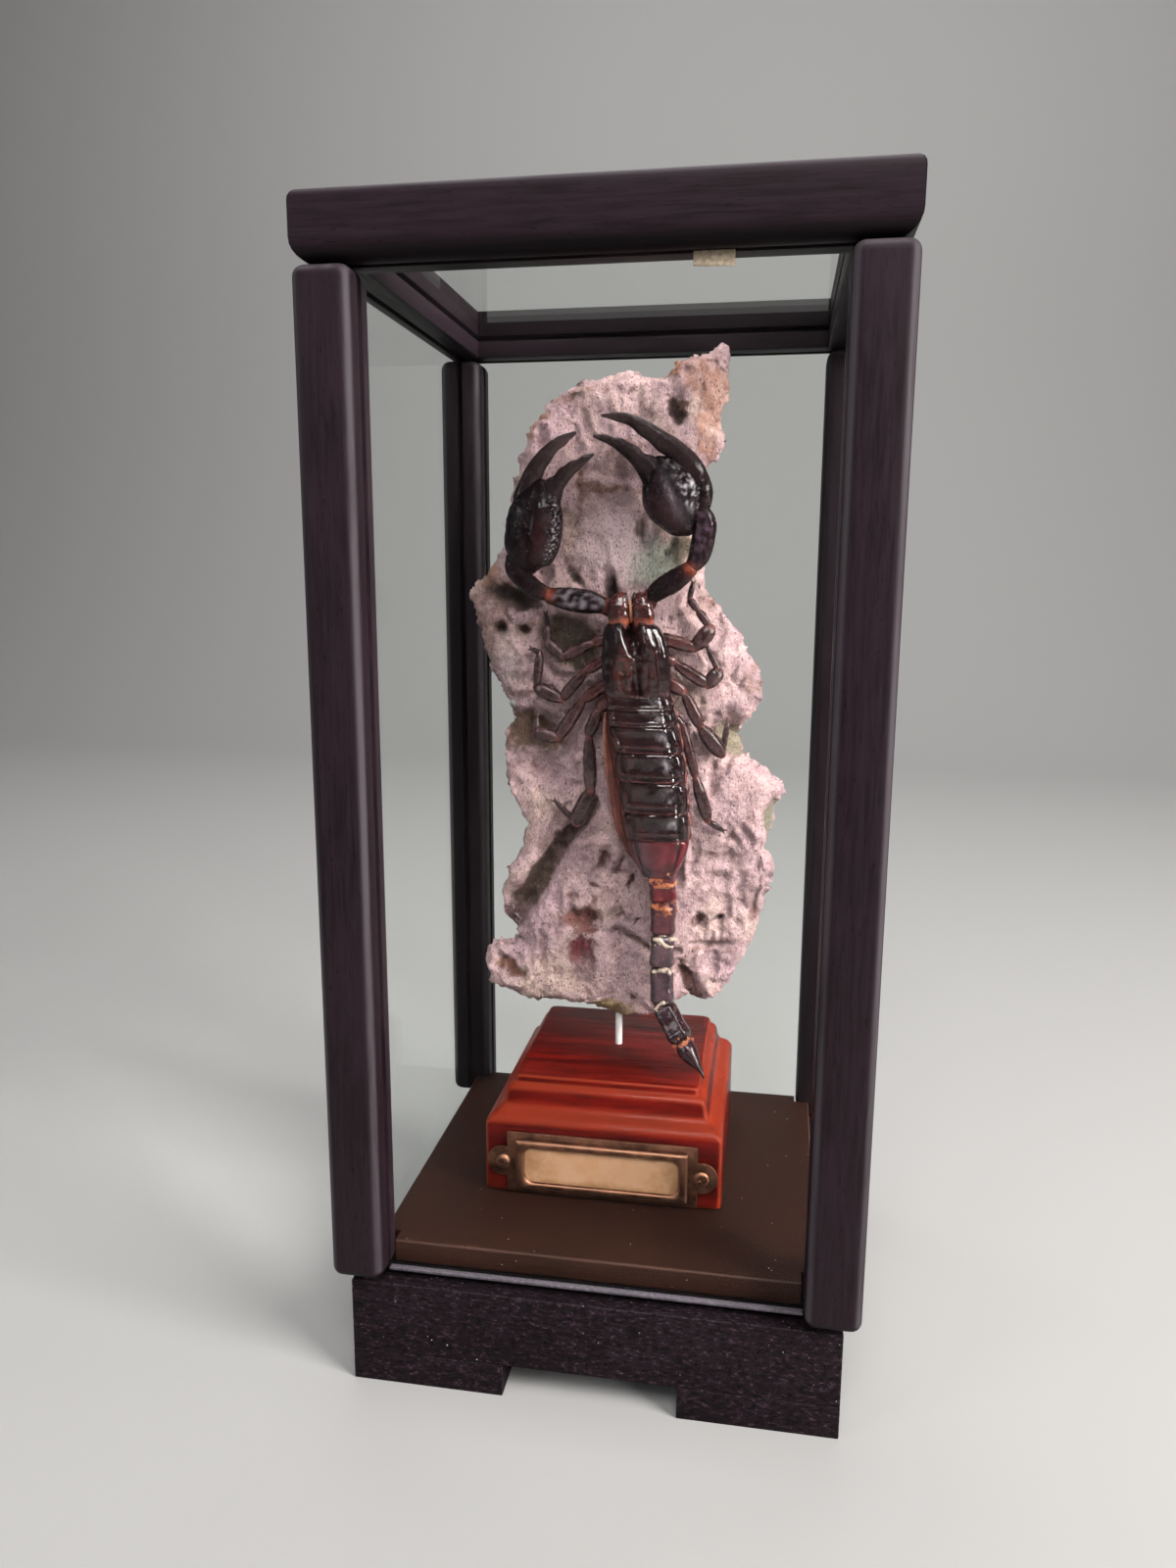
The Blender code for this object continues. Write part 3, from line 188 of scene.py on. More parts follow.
# Noise of its ragged edge and of its lumps: size, shift, height in millimetres, and whether dips rise as well
BARK_RAGGED = ((6.0, 0.0, 0.9, False), (2.3, 3.0, 0.8, False), (1.3, 8.0, 0.3, False))
BARK_LUMPS = ((12, 16, 1.8, 0), (6.5, 6, 1.7, 0), (4.2, 1, 2.2, 1), (2.1, 5, 1, 1), (1.15, 9, 0.35, 0))
# Painted shade laid in the deepest hollows
SUNK_SHADE_COLOUR = (0.1, 0.062, 0.048)
# Stains of its front, with painted shade in its hollows, pits and crevice and a pale painted patch of light:
# x, z, half width, half height, turn, strength, colour
BARK_STAINS_SHADE_AND_LIGHT = (
    # The first two, broad darker patches at the lower left and along the left edge, are painted shade
    (-24, 95, 15, 13, 30, 0.34, (0.29, 0.185, 0.2)), (-38, 184, 7, 13, 0, 0.66, (0.22, 0.13, 0.125)),
    # The pale patch first on this line, between the claws, is a painted pool of light
    (-4, 207, 10.5, 12.5, 0, 0.86, (0.93, 0.68, 0.695)), (10, 250, 5.5, 2.4, 38, 0.85, (0.36, 0.16, 0.08)),
    (-14, 244.5, 6, 1.5, 22, 0.6, (0.34, 0.17, 0.11)), (-25, 236, 1.8, 5, -32, 0.6, (0.34, 0.17, 0.12)),
    (-11.2, 103.8, 3.6, 3, -20, 0.85, (0.16, 0.045, 0.036)),
    (-15.8, 104.4, 3.4, 1.6, 12, 0.65, (0.2, 0.07, 0.055)),
    (-12, 95.3, 3.9, 4.2, 0, 1.3, (0.11, 0.02, 0.026)), (-8.8, 108.5, 1.5, 3.4, -20, 0.6, (0.2, 0.08, 0.065)),
    (-8.8, 113.9, 2.8, 0.9, -15, 0.75, (0.15, 0.06, 0.045)),
    (-14.5, 111, 2.2, 1.2, 20, 0.55, (0.2, 0.09, 0.08)), (-2.1, 120, 0.8, 3, -20, 0.8, (0.14, 0.06, 0.05)),
    (1.4, 115.4, 0.8, 2.6, -15, 0.85, (0.1, 0.035, 0.028)), (-11, 90, 3.4, 4, -20, 0.6, (0.2, 0.125, 0.13)),
    (-7, 86.5, 5, 2.6, -30, 0.5, (0.22, 0.14, 0.145)), (3.4, 104.8, 1.3, 0.6, 30, 0.9, (0.1, 0.05, 0.04)),
    # The near-black patches in the hollows on this line and the next three are painted shade
    (-31.9, 89, 1.3, 1.2, 0, 0.8, (0.1, 0.04, 0.035)), (-15, 180, 8, 6.5, -35, 0.95, (0.085, 0.062, 0.04)),
    (-27, 172, 6, 7, 0, 0.5, (0.24, 0.17, 0.15)), (-26, 157, 8.5, 4.5, -30, 0.9, (0.1, 0.058, 0.034)),
    (-31, 192.5, 7, 3, -12, 1, (0.01, 0.008, 0.006)), (-34.5, 184.5, 1.8, 1.8, 0, 0.95, (0.035, 0.015, 0.01)),
    (-28.5, 184, 1.7, 1.5, 0, 0.9, (0.045, 0.018, 0.012)),
    (11.8, 239.5, 2, 4.3, 14, 1.2, (0.03, 0.015, 0.01)), (19, 246, 6, 9, 25, 0.6, (0.5, 0.245, 0.185)),
    (20, 232, 3.5, 8, 0, 0.58, (0.46, 0.225, 0.165)), (-24, 238, 3, 6, -40, 0.4, (0.32, 0.16, 0.12)),
    (-4.5, 220.2, 9, 1.1, -5, 0.75, (0.21, 0.095, 0.07)), (-3, 215, 9, 0.8, -6, 0.4, (0.25, 0.12, 0.09)),
    (-12.8, 221.5, 1.3, 5, 5, 0.75, (0.19, 0.09, 0.065)), (-1, 229, 5, 5, 0, 0.5, (0.3, 0.17, 0.13)),
    (7, 201, 6, 6.5, -35, 0.8, (0.43, 0.46, 0.38)), (13.7, 205, 3.2, 4.8, -30, 0.92, (0.07, 0.062, 0.038)),
    (-37, 199, 4, 3, 0, 0.7, (0.42, 0.22, 0.14)), (-33, 175, 3.5, 8, 0, 0.4, (0.34, 0.3, 0.31)),
    # The dark streaks on this line and the next lie along the crevice: painted shade
    (-16, 128, 1.9, 6, -42, 0.9, (0.085, 0.048, 0.036)),
    (-26.5, 112, 3, 9.5, -32, 0.93, (0.095, 0.062, 0.046)), (-10, 135, 2, 4, -32, 0.7, (0.12, 0.065, 0.045)),
    (-34, 153, 5, 2.5, 0, 0.6, (0.17, 0.09, 0.06)), (40, 134, 2.6, 6, 10, 0.85, (0.2, 0.21, 0.14)),
    (28, 155.5, 6, 4, -45, 0.85, (0.19, 0.17, 0.11)), (20.7, 106.1, 1.3, 1.6, 0, 1.1, (0.09, 0.015, 0.01)),
    (26.1, 106.7, 1.3, 0.8, 20, 1.3, (0.01, 0.003, 0.003)), (29.3, 105.5, 0.5, 0.5, 0, 1, (0.08, 0.03, 0.02)),
    (18, 88, 1.9, 6.5, 25, 0.95, (0.07, 0.022, 0.016)), (4, 98.5, 6, 0.9, -25, 0.7, (0.16, 0.1, 0.06)),
    (24, 98, 10, 0.8, 2, 0.5, (0.24, 0.14, 0.1)), (-33, 89, 5, 1.4, -25, 0.8, (0.24, 0.1, 0.06)),
    (-3, 79, 7, 3, 0, 0.8, (0.52, 0.36, 0.17)), (2, 83, 0.9, 0.9, 0, 1, (0.03, 0.012, 0.012)),
    (3.5, 210, 0.55, 2.8, 8, 0.95, (0.06, 0.03, 0.02)), (-14, 198, 0.8, 2.6, 42, 1, (0.02, 0.015, 0.008)),
    (-4.5, 194, 1.4, 4, 0, 0.95, (0.02, 0.012, 0.01)), (20, 191, 4, 3, 30, 0.5, (0.24, 0.11, 0.08)),
    (33, 172, 2.5, 5, 0, 0.5, (0.26, 0.14, 0.09)), (-5.5, 121.5, 1.8, 3.4, -12, 0.8, (0.09, 0.035, 0.025)),
    (34, 108.5, 1, 2.8, -12, 0.9, (0.2, 0.06, 0.04)), (28, 114, 12, 16, 0, 0.44, (0.38, 0.265, 0.27)),
    (22, 127, 4, 3, 0, 0.35, (0.16, 0.12, 0.1)), (-33, 164, 0.9, 1.3, 20, 1, (0.8, 0.78, 0.76)),
    (12.5, 128, 2.5, 3.5, 0, 0.6, (0.2, 0.12, 0.09)),
)

# Scorpion, back towards -Y and head up, in millimetres
BODY_Y = -1.4
CARAPACE = (
    (1.7, 187.2, 4, 2), (1.8, 186, 6.4, 3.3), (2.3, 183.5, 7.8, 4), (2.9, 179.5, 8.7, 4.5),
    (3.2, 175, 8.9, 4.7), (3.5, 170.5, 8.8, 4.5), (3.8, 167.5, 8.3, 3.9), (3.9, 166, 6.6, 2.8),
)
BACK_PLATES = (
    (3.8, 167.8, 8.7, 4.2), (4.4, 164, 9.1, 4.4), (5.1, 159.9, 9.3, 4.5), (6.6, 153, 9.3, 4.6),
    (7.7, 145.3, 9.1, 4.6), (8.8, 137, 8.8, 4.5), (9.6, 129.8, 8.4, 4.2), (9.9, 119.4, 4.2, 2.9),
)
TAIL = (
    (10.4, -1, 121, 3.5), (11.3, -1, 112.4, 3.4), (11.2, -1, 103.2, 3.2), (11, -1.2, 94, 3.1),
    (11.6, -3, 84.2, 3), (17.6, -8, 76, 2.9),
)
STING_BULB = (
    (17.2, -7.7, 76.6, 1.8), (18.1, -8.6, 75.2, 2.4), (19.3, -9.6, 73.7, 2.6), (20.4, -10.8, 72.6, 2.1),
    (21.3, -11.8, 71.9, 1.5), (22.2, -12.8, 71.2, 0.9), (23.2, -13.8, 70.3, 0.55), (23.9, -14.6, 68.9, 0.16),
)
FANGS = (
    ((-0.9, 184.6, 2.3), (-1.3, 187, 2.8), (-1.4, 189.5, 2.85), (-1.1, 192, 2.3), (-0.7, 193.8, 1.1)),
    ((4.5, 184.6, 2.3), (5, 187, 2.8), (4.8, 189.5, 2.75), (4.2, 192, 2.2), (3.5, 193.6, 1.1)),
)
ARM_LEFT = (
    ((-0.5, -0.5, 187.5, 2), (-3, -1, 189.8, 2.5), (-6, -1.8, 190.8, 2.2)),
    ((-5.2, -1.8, 190.6, 2), (-8, -2.4, 191.3, 2.8), (-14, -3.1, 192.2, 3), (-19.6, -3.5, 193.1, 2)),
    (
        (-18.6, -3.5, 193.2, 1.5), (-22, -3.7, 194.3, 2.2), (-25.8, -4, 197, 2.5), (-28.4, -4, 200.2, 2.4),
        (-28.8, -4, 203, 1.8),
    ),
)
ARM_RIGHT = (
    ((3.6, -0.5, 187.5, 2), (5.4, -1, 191, 2.4), (7.2, -1.8, 193.6, 2.1)),
    ((6.4, -1.8, 192.6, 1.8), (8.8, -2.3, 194.6, 2.6), (13, -3, 197.2, 2.8), (17, -3.5, 200.2, 2)),
    (
        (16.6, -3.5, 199.8, 1.6), (18.6, -3.7, 202.6, 2.6), (19.8, -4, 207, 2.9), (20, -4, 211.5, 2.8),
        (18.4, -4, 214.6, 2.2),
    ),
)
CLAW_LEFT = (
    (-24.4, -3.9, 198.9, 1.6), (-24.5, -4, 200.4, 4.2), (-24.1, -4, 203.3, 6.3), (-23.5, -4, 207.5, 7.3),
    (-22.9, -4, 211.5, 7.2), (-22.2, -4, 215.8, 6.2), (-21.7, -4, 219, 4.6), (-21.5, -4, 221.4, 2.4),
)
CLAW_RIGHT = (
    (16.9, -3.9, 209, 1.6), (15.4, -4, 210.7, 4.2), (13.8, -4, 213.6, 6.4), (12.2, -4, 217, 7.6),
    (10.8, -4, 220.1, 7.1), (9.3, -4, 222.8, 5.6), (8.1, -4, 224.8, 4), (7.2, -4, 226.2, 2),
)
# Fingers of the claws: which side has the knobbly edge, how far along a movable one its hinge groove is, and
# its stations. A fixed finger's groove is put past its end
NO_HINGE = 2
FINGERS = (
    (1, 0.33, ((-28.3, -4, 206, 2.2), (-27.4, -4, 212.5, 2.7), (-25.7, -4, 218, 2.6), (-23.2, -4, 223.6, 2.3),
               (-20.2, -4, 227.8, 1.9), (-16.6, -3.8, 231, 1.4), (-12.6, -3.4, 233.2, 0.5))),
    (-1, NO_HINGE, ((-20.2, -4, 213.5, 3.6), (-19, -4, 217.5, 3), (-17.4, -4, 220.8, 2.3),
                    (-14.8, -4, 223.5, 1.8), (-11.8, -3.8, 225.8, 1.3), (-8.1, -3.4, 228, 0.4))),
    (-1, 0.2, ((18.2, -4, 212.5, 2.2), (19, -4, 218, 3), (16.9, -4, 223.5, 3.1), (13, -4, 227.9, 2.8),
               (8.8, -4, 231.1, 2.3), (4.5, -4, 234, 1.9), (-0.5, -3.8, 236.5, 1.3), (-6, -3.4, 237.2, 0.4))),
    (1, NO_HINGE, ((10.4, -4, 217.5, 4.8), (8.4, -4, 221.2, 4.1), (5.6, -4, 224.6, 2.9), (3, -4, 227, 2.2),
                   (0.2, -4, 229.1, 1.8), (-3, -3.8, 230.9, 1.3), (-8, -3.4, 232.4, 0.4))),
)
# Soft skin where the fixed fingers leave the hands: x, y, z, half width
CLAW_JOINTS = ((-23.2, -5.2, 219.4, 1.25), (16.6, -6.0, 215.8, 1.2))
# Forms of limbs: thickness against width, sides, steps along, squareness, and how far the ends round out
LIMB_FORMS = {
    "tail": (0.9, 48, 40, 3.4, 0.3), "sting": (0.95, 32, 40, 2.1, 0.5), "arm": (0.82, 48, 48, 2.5, 0.5),
    "hand": (0.62, 96, 80, 2.2, 0.35), "finger": (0.82, 40, 80, 2.3, 0.5), "hand skin": (0.7, 24, 12, 2, 0.6),
    "fang": (0.95, 36, 36, 2.6, 0.4), "fang hook": (0.9, 18, 14, 2, 0.5), "feeler": (0.8, 12, 12, 2, 0.4),
    "leg": (0.85, 22, 26, 2.4, 0.5), "leg hook": (1, 10, 8, 2, 0.5), "leg root": (0.8, 20, 12, 2.2, 0.6),
    "flap": (0.35, 64, 80, 2, 0.4), "side skin": (0.9, 20, 90, 2, 0.5), "torn skin": (0.92, 44, 20, 2.9, 0.2),
}
# Legs: joints as x, y, z, then the half width of each piece between them
LEGS = (
    (
        (
            (-4.5, 0.4, 182), (-8.5, 0.2, 181), (-16.5, 0.6, 177), (-21, 1.2, 181), (-21, 1.8, 185),
            (-21.5, 2.4, 188.2),
        ),
        (1.3, 1.4, 1.4, 1.1, 0.8),
    ),
    (
        (
            (-4, 0.4, 177.5), (-10.5, 0.4, 173.5), (-17, 0.6, 166), (-23.8, 1.2, 169), (-23, 1.8, 178),
            (-25.4, 2.4, 179),
        ),
        (1.3, 1.4, 1.8, 1.1, 0.8),
    ),
    (
        ((-3.5, 0.4, 171.5), (-11, 0.4, 166), (-18, 0.6, 155.5), (-24.2, 1.2, 156.8), (-24, 2.2, 161)),
        (1.5, 1.6, 1.9, 1),
    ),
    (
        (
            (-3, 0.4, 167), (-7, 0.4, 163.5), (-9.5, 0.4, 156.5), (-9, 0.6, 141.5), (-13, 1.4, 132.5),
            (-19, 2.2, 138),
        ),
        (1.5, 1.5, 1.6, 2.1, 0.9),
    ),
    (
        (
            (7.5, 0.4, 183), (18, 0.4, 180), (22, 1, 185), (18.5, 1.6, 189.5), (16.2, 2.2, 192.4),
            (17, 2.4, 196.3),
        ),
        (1.6, 1.9, 1, 0.9, 0.8),
    ),
    (
        ((8, 0.4, 178.5), (13, 0.4, 176), (21.5, 0.6, 170.5), (24.3, 1.4, 174), (21.2, 2.2, 180)),
        (1.3, 1.5, 1.8, 0.9),
    ),
    (
        ((8.5, 0.4, 173), (15.5, 0.4, 168.5), (20, 0.6, 159.5), (25.6, 1.2, 152.5), (27, 2.2, 161)),
        (1.6, 1.5, 1.9, 0.9),
    ),
    (
        ((9, 0.4, 166.5), (15.5, 0.4, 159.5), (19, 0.6, 146), (22.5, 1.2, 134.5), (26.4, 2.2, 131.8)),
        (1.1, 1.2, 1.5, 0.9),
    ),
)
# Dried flap of skin beside the back plates: x, z, half width
FLAP = (
    (-4.2, 165, 0.5), (-4.7, 159, 0.8), (-3.8, 152.5, 1.5), (-2.8, 146.4, 2), (-2.1, 141, 1.9),
    (-1.4, 135.9, 1.7), (-0.4, 130.6, 1.4), (1.7, 125.5, 0.7), (2.4, 123.8, 0.3),
)

# Colours of the shell and the skin
BLACK = (0.0095, 0.0045, 0.0055)
RED_BLACK = (0.03, 0.009, 0.009)
RED_BROWN = (0.1, 0.022, 0.014)
DEEP_RED = (0.07, 0.005, 0.009)
MAUVE = (0.04, 0.018, 0.024)
ORANGE = (0.17, 0.04, 0.02)
# Pale grey painted highlight on the back plates and the claws
PAINTED_HIGHLIGHT = (0.26, 0.24, 0.27)
PLATE_EDGE = (0.092, 0.025, 0.022)
CLAW_BLACK = (0.006, 0.003, 0.0038)
CLAW_RED = (0.017, 0.005, 0.006)
CLAW_BROWN = (0.03, 0.012, 0.015)
# Grey band of painted reflection down the middle of the right hand
CLAW_REFLECTION_GREY = (0.05, 0.04, 0.048)
CLAW_JOINT = (0.2, 0.048, 0.024)
FINGER_TIP = (0.04, 0.026, 0.027)
FANG_TIP = (0.055, 0.012, 0.01)
FANG_HOOK = (0.02, 0.007, 0.006)
FEELER = (0.26, 0.095, 0.04)
STING_ROOT = (0.026, 0.009, 0.012)
STING_TIP = (0.01, 0.005, 0.005)
LEG_MAUVE = (0.029, 0.0135, 0.0145)
LEG_RED = (0.065, 0.016, 0.013)
LEG_KEEL = (0.1, 0.06, 0.062)
LEG_ROOT = (0.16, 0.03, 0.018)
LEG_HOOK = (0.05, 0.02, 0.018)
JOINT_PINK = (0.12, 0.03, 0.024)
FLAP_DARK = (0.06, 0.014, 0.012)
FLAP_RED = (0.15, 0.045, 0.034)
FLAP_EDGE = (0.34, 0.15, 0.105)
SIDE_DARK = (0.045, 0.011, 0.01)
SIDE_RED = (0.11, 0.034, 0.026)
# The grey film on the left arm's second piece, and the painted sheen on the right arm's third piece, by side
# of the body and number of the piece
ARM_FILM_AND_SHEEN = {(-1, 1): (0.165, 0.145, 0.172), (1, 2): (0.066, 0.04, 0.06)}


# Shader helpers
class Paint:
    """Writes the nodes of one material. Patterns are wired, and plain numbers stay on the shader."""

    def __init__(self, name, **numbers):
        self.material = bpy.data.materials.new(name)
        self.material.use_nodes = True
        self.tree = self.material.node_tree
        self.shader = self.tree.nodes["Principled BSDF"]
        self.place = self.add("ShaderNodeTexCoord").outputs["Object"]
        for key, value in numbers.items():
            self.put(self.shader.inputs[key.replace("_", " ")], value)

    def put(self, socket, value):
        if isinstance(value, bpy.types.NodeSocket):
            self.tree.links.new(value, socket)
        elif socket.type == "RGBA":
            socket.default_value = (*value[:3], 1.0)
        else:
            socket.default_value = value

    def add(self, kind, values=None, **settings):
        node = self.tree.nodes.new(kind)
        for key, value in settings.items():
            setattr(node, key, value)
        for key, value in (values or {}).items():
            self.put(node.inputs[key], value)
        return node

    def at(self, size_mm, stretch=(1, 1, 1)):
        """Object coordinates counted in lengths of size_mm, drawn out along an axis by its stretch."""
        scale = [1 / (size_mm * MM * share) for share in stretch]
        return self.add("ShaderNodeMapping", {"Vector": self.place, "Scale": scale}).outputs["Vector"]

    def clouds(self, size_mm, detail=4.0, rough=0.5, stretch=(1, 1, 1), twist=0.0):
        values = {"Vector": self.at(size_mm, stretch), "Scale": 1.0, "Detail": detail, "Roughness": rough,
                  "Distortion": twist}
        return self.add("ShaderNodeTexNoise", values).outputs[0]

    def cells(self, size_mm, stretch=(1, 1, 1), feature="F1", out="Distance"):
        values = {"Vector": self.at(size_mm, stretch), "Scale": 1.0}
        return self.add("ShaderNodeTexVoronoi", values, feature=feature).outputs[out]

    def sum(self, operation, a, b=0.0, c=0.0):
        return self.add("ShaderNodeMath", {0: a, 1: b, 2: c}, operation=operation).outputs[0]

    def between(self, value, low, high, to_low=0.0, to_high=1.0):
        values = {"Value": value, "From Min": low, "From Max": high, "To Min": to_low, "To Max": to_high}
        return self.add("ShaderNodeMapRange", values, interpolation_type="SMOOTHSTEP").outputs["Result"]

    def blend(self, share, a, b, mode="MIX"):
        values = {0: share, 6: a, 7: b}
        return self.add("ShaderNodeMix", values, data_type="RGBA", blend_type=mode).outputs[2]

    def over(self, base, colour, pattern, low, high, most=1.0):
        """Lay a colour over the base as a pattern goes from low to high, up to a share of most."""
        return self.blend(self.between(pattern, low, high, 0.0, most), base, colour)

    def times(self, base, colour):
        return self.blend(1.0, base, colour, "MULTIPLY")

    def named(self, name, out="Color"):
        return self.add("ShaderNodeAttribute", attribute_name=name).outputs[out]

    def raise_by(self, height, reach_mm, strength=1.0):
        """Bump the surface by a height pattern, on top of any earlier bump."""
        values = {"Height": height, "Distance": reach_mm * MM, "Strength": strength}
        earlier = self.shader.inputs["Normal"]
        if earlier.is_linked:
            values["Normal"] = earlier.links[0].from_socket
        self.put(earlier, self.add("ShaderNodeBump", values).outputs[0])

    def facing(self):
        """The three parts of the way a spot faces."""
        normal = self.add("ShaderNodeNewGeometry").outputs["Normal"]
        return self.add("ShaderNodeSeparateXYZ", {0: normal}).outputs

    def rounded_edge(self):
        """How far a spot is on the rounding of a squared piece: 0 on its flats, 1 on its edges."""
        parts = self.facing()
        sizes = [self.sum("ABSOLUTE", part) for part in parts]
        most = self.sum("MAXIMUM", self.sum("MAXIMUM", sizes[0], sizes[1]), sizes[2])
        return self.between(most, 0.99, 0.8)

    def colour(self, value):
        self.put(self.shader.inputs["Base Color"], value)

    def rough(self, value):
        self.put(self.shader.inputs["Roughness"], value)


def shade_of(colour, share):
    return [part * share for part in colour]


GRAIN_STRETCH = 14.0
# How rough the wood's grain is, lowest and highest, and how far its edges are rubbed pale with wear and a
# painted sheen
PLANED = (0.4, 0.56, 0.75)
ROUGH_SAWN = (0.65, 0.82, 0.25)


def black_wood(name, axis, dark, worn_and_sheen, rough_sawn=False):
    """Black stained wood with its grain along an axis, paler on its edges from wear and a painted sheen, with
    painted shade on faces that look down.
    """
    paint = Paint(name, Specular_IOR_Level=0.1)
    least_rough, most_rough, rub_and_sheen = ROUGH_SAWN if rough_sawn else PLANED
    along = [1.0, 1.0, 1.0]
    along[axis] = GRAIN_STRETCH
    grain = paint.clouds(1.1, 6.0, 0.62, along, 0.4)
    pores = paint.clouds(0.42, 3.0, 0.6, [share ** 0.75 for share in along])
    drift = paint.clouds(30.0, 3.0)
    base = paint.blend(paint.between(grain, 0.3, 0.72), shade_of(dark, 0.6), shade_of(dark, 1.2))
    base = paint.over(base, shade_of(dark, 1.4), drift, 0.35, 0.7, 0.5)
    base = paint.over(base, shade_of(dark, 0.2), pores, 0.62, 0.7, 0.7)
    # Rubbed pale on the rounded edges, except those that face down: partly wear, partly a painted sheen
    uneven = paint.between(paint.clouds(5.0, 5.0, 0.65, along), 0.3, 0.6, 0.35, 1.0)
    scuffs_and_sheen = paint.sum("MULTIPLY", paint.rounded_edge(), uneven)
    up = paint.facing()[2]
    scuffs_and_sheen = paint.sum("MULTIPLY", scuffs_and_sheen, paint.between(up, -0.35, -0.05, 0.0, rub_and_sheen))
    base = paint.blend(scuffs_and_sheen, base, worn_and_sheen)
    # Faces that look down are darker: painted shade
    base = paint.over(base, shade_of(dark, 0.12), up, -0.1, -0.75, 0.85)
    if rough_sawn:
        fibres = paint.clouds(0.75, 4.0, 0.75, [share ** 0.25 for share in along])
        base = paint.over(base, shade_of(dark, 6.0), fibres, 0.56, 0.68, 0.9)
        base = paint.over(base, shade_of(dark, 0.15), fibres, 0.5, 0.38, 0.9)
        paint.raise_by(fibres, 0.34, 1.0)
    paint.colour(base)
    paint.rough(paint.between(grain, 0.2, 0.8, least_rough, most_rough))
    paint.raise_by(grain, 0.05, 0.8)
    paint.raise_by(pores, 0.03, 0.6)
    return paint.material


def red_wood(dark, bright):
    """Varnished red wood with the grain across the front, dark pores and a painted orange highlight on its
    rounded edges.
    """
    paint = Paint("varnished red wood", Coat_Weight=0.08, Coat_Roughness=0.08, Specular_IOR_Level=0.05)
    warp = paint.clouds(9.0, 3.0, 0.5, (7, 1, 1), 0.8)
    grain = paint.clouds(1.6, 6.0, 0.65, (13, 1, 1), 0.5)
    pores = paint.clouds(0.35, 3.0, 0.55, (9, 1, 1))
    base = paint.blend(paint.between(warp, 0.32, 0.68), dark, bright)
    base = paint.over(base, shade_of(dark, 0.35), grain, 0.42, 0.75, 0.75)
    base = paint.over(base, shade_of(dark, 0.18), pores, 0.64, 0.72, 0.8)
    # The rounded edges are lit orange: painted highlight
    painted_edge_highlight = (bright[0] * 1.9, bright[1] * 6.5, bright[2] * 4.0)
    base = paint.blend(paint.sum("MULTIPLY", paint.rounded_edge(), 0.55), base, painted_edge_highlight)
    paint.colour(base)
    paint.rough(paint.between(grain, 0.3, 0.7, 0.26, 0.4))
    paint.raise_by(grain, 0.03, 0.5)
    return paint.material


def clear_glass(name, tint):
    """Clear glass that lets the light of the lamps through to what it shuts in."""
    paint = Paint(name, Base_Color=tint, Roughness=0.0, IOR=1.09, Transmission_Weight=1.0)
    output = paint.tree.nodes["Material Output"]
    lamps = paint.add("ShaderNodeLightPath").outputs["Is Shadow Ray"]
    through = paint.add("ShaderNodeBsdfTransparent", {"Color": (0.97, 0.98, 0.975)}).outputs[0]
    both = paint.add("ShaderNodeMixShader", {0: lamps, 1: paint.shader.outputs[0], 2: through})
    paint.put(output.inputs["Surface"], both.outputs[0])
    return paint.material


def bronze(name):
    """Dark bronze, rubbed bright on its edges."""
    paint = Paint(name, Metallic=1.0)
    patina = paint.clouds(3.0, 5.0, 0.6)
    scratches = paint.clouds(0.5, 3.0, 0.6, (7, 1, 1))
    base = paint.blend(paint.between(patina, 0.35, 0.7), (0.103, 0.045, 0.028), (0.237, 0.105, 0.064))
    base = paint.blend(paint.sum("MULTIPLY", paint.rounded_edge(), 0.6), base, (0.43, 0.215, 0.135))
    paint.colour(base)
    paint.rough(paint.between(patina, 0.3, 0.7, 0.4, 0.58))
    paint.raise_by(scratches, 0.02, 0.4)
    return paint.material


def parchment(light):
    """Aged card, browner towards its edges."""
    paint = Paint("aged card", Specular_IOR_Level=0.3)
    centred = paint.add("ShaderNodeMapping", {"Vector": paint.place, "Location": (-STAND_X, 0, -LABEL_Z)})
    parts = paint.add("ShaderNodeSeparateXYZ", {0: centred.outputs[0]}).outputs
    across = paint.sum("DIVIDE", paint.sum("ABSOLUTE", parts[0]), CARD_SHOWN[0] * MM)
    up = paint.sum("DIVIDE", paint.sum("ABSOLUTE", parts[2]), CARD_SHOWN[1] * MM)
    edge = paint.sum("MAXIMUM", across, up)
    mottle = paint.clouds(5.0, 5.0, 0.6)
    fibre = paint.clouds(0.5, 4.0, 0.6)
    yellower = (light[0] * 0.92, light[1] * 0.8, light[2] * 0.66)
    base = paint.over(light, yellower, mottle, 0.35, 0.7, 0.8)
    shade = paint.sum("ADD", edge, paint.between(mottle, 0.3, 0.7, -0.12, 0.12))
    paint.colour(paint.over(base, (0.25, 0.125, 0.055), shade, 0.6, 1.1))
    paint.rough(0.8)
    paint.raise_by(fibre, 0.02, 0.5)
    return paint.material


def off_white_rod():
    """Satin off white metal with faint marks along it."""
    paint = Paint("off white rod", Metallic=0.15)
    marks = paint.clouds(1.0, 4.0, 0.6, (1, 1, 4))
    paint.colour(paint.over((0.78, 0.76, 0.74), (0.5, 0.48, 0.47), marks, 0.4, 0.7, 0.6))
    paint.rough(paint.between(marks, 0.3, 0.7, 0.28, 0.42))
    return paint.material


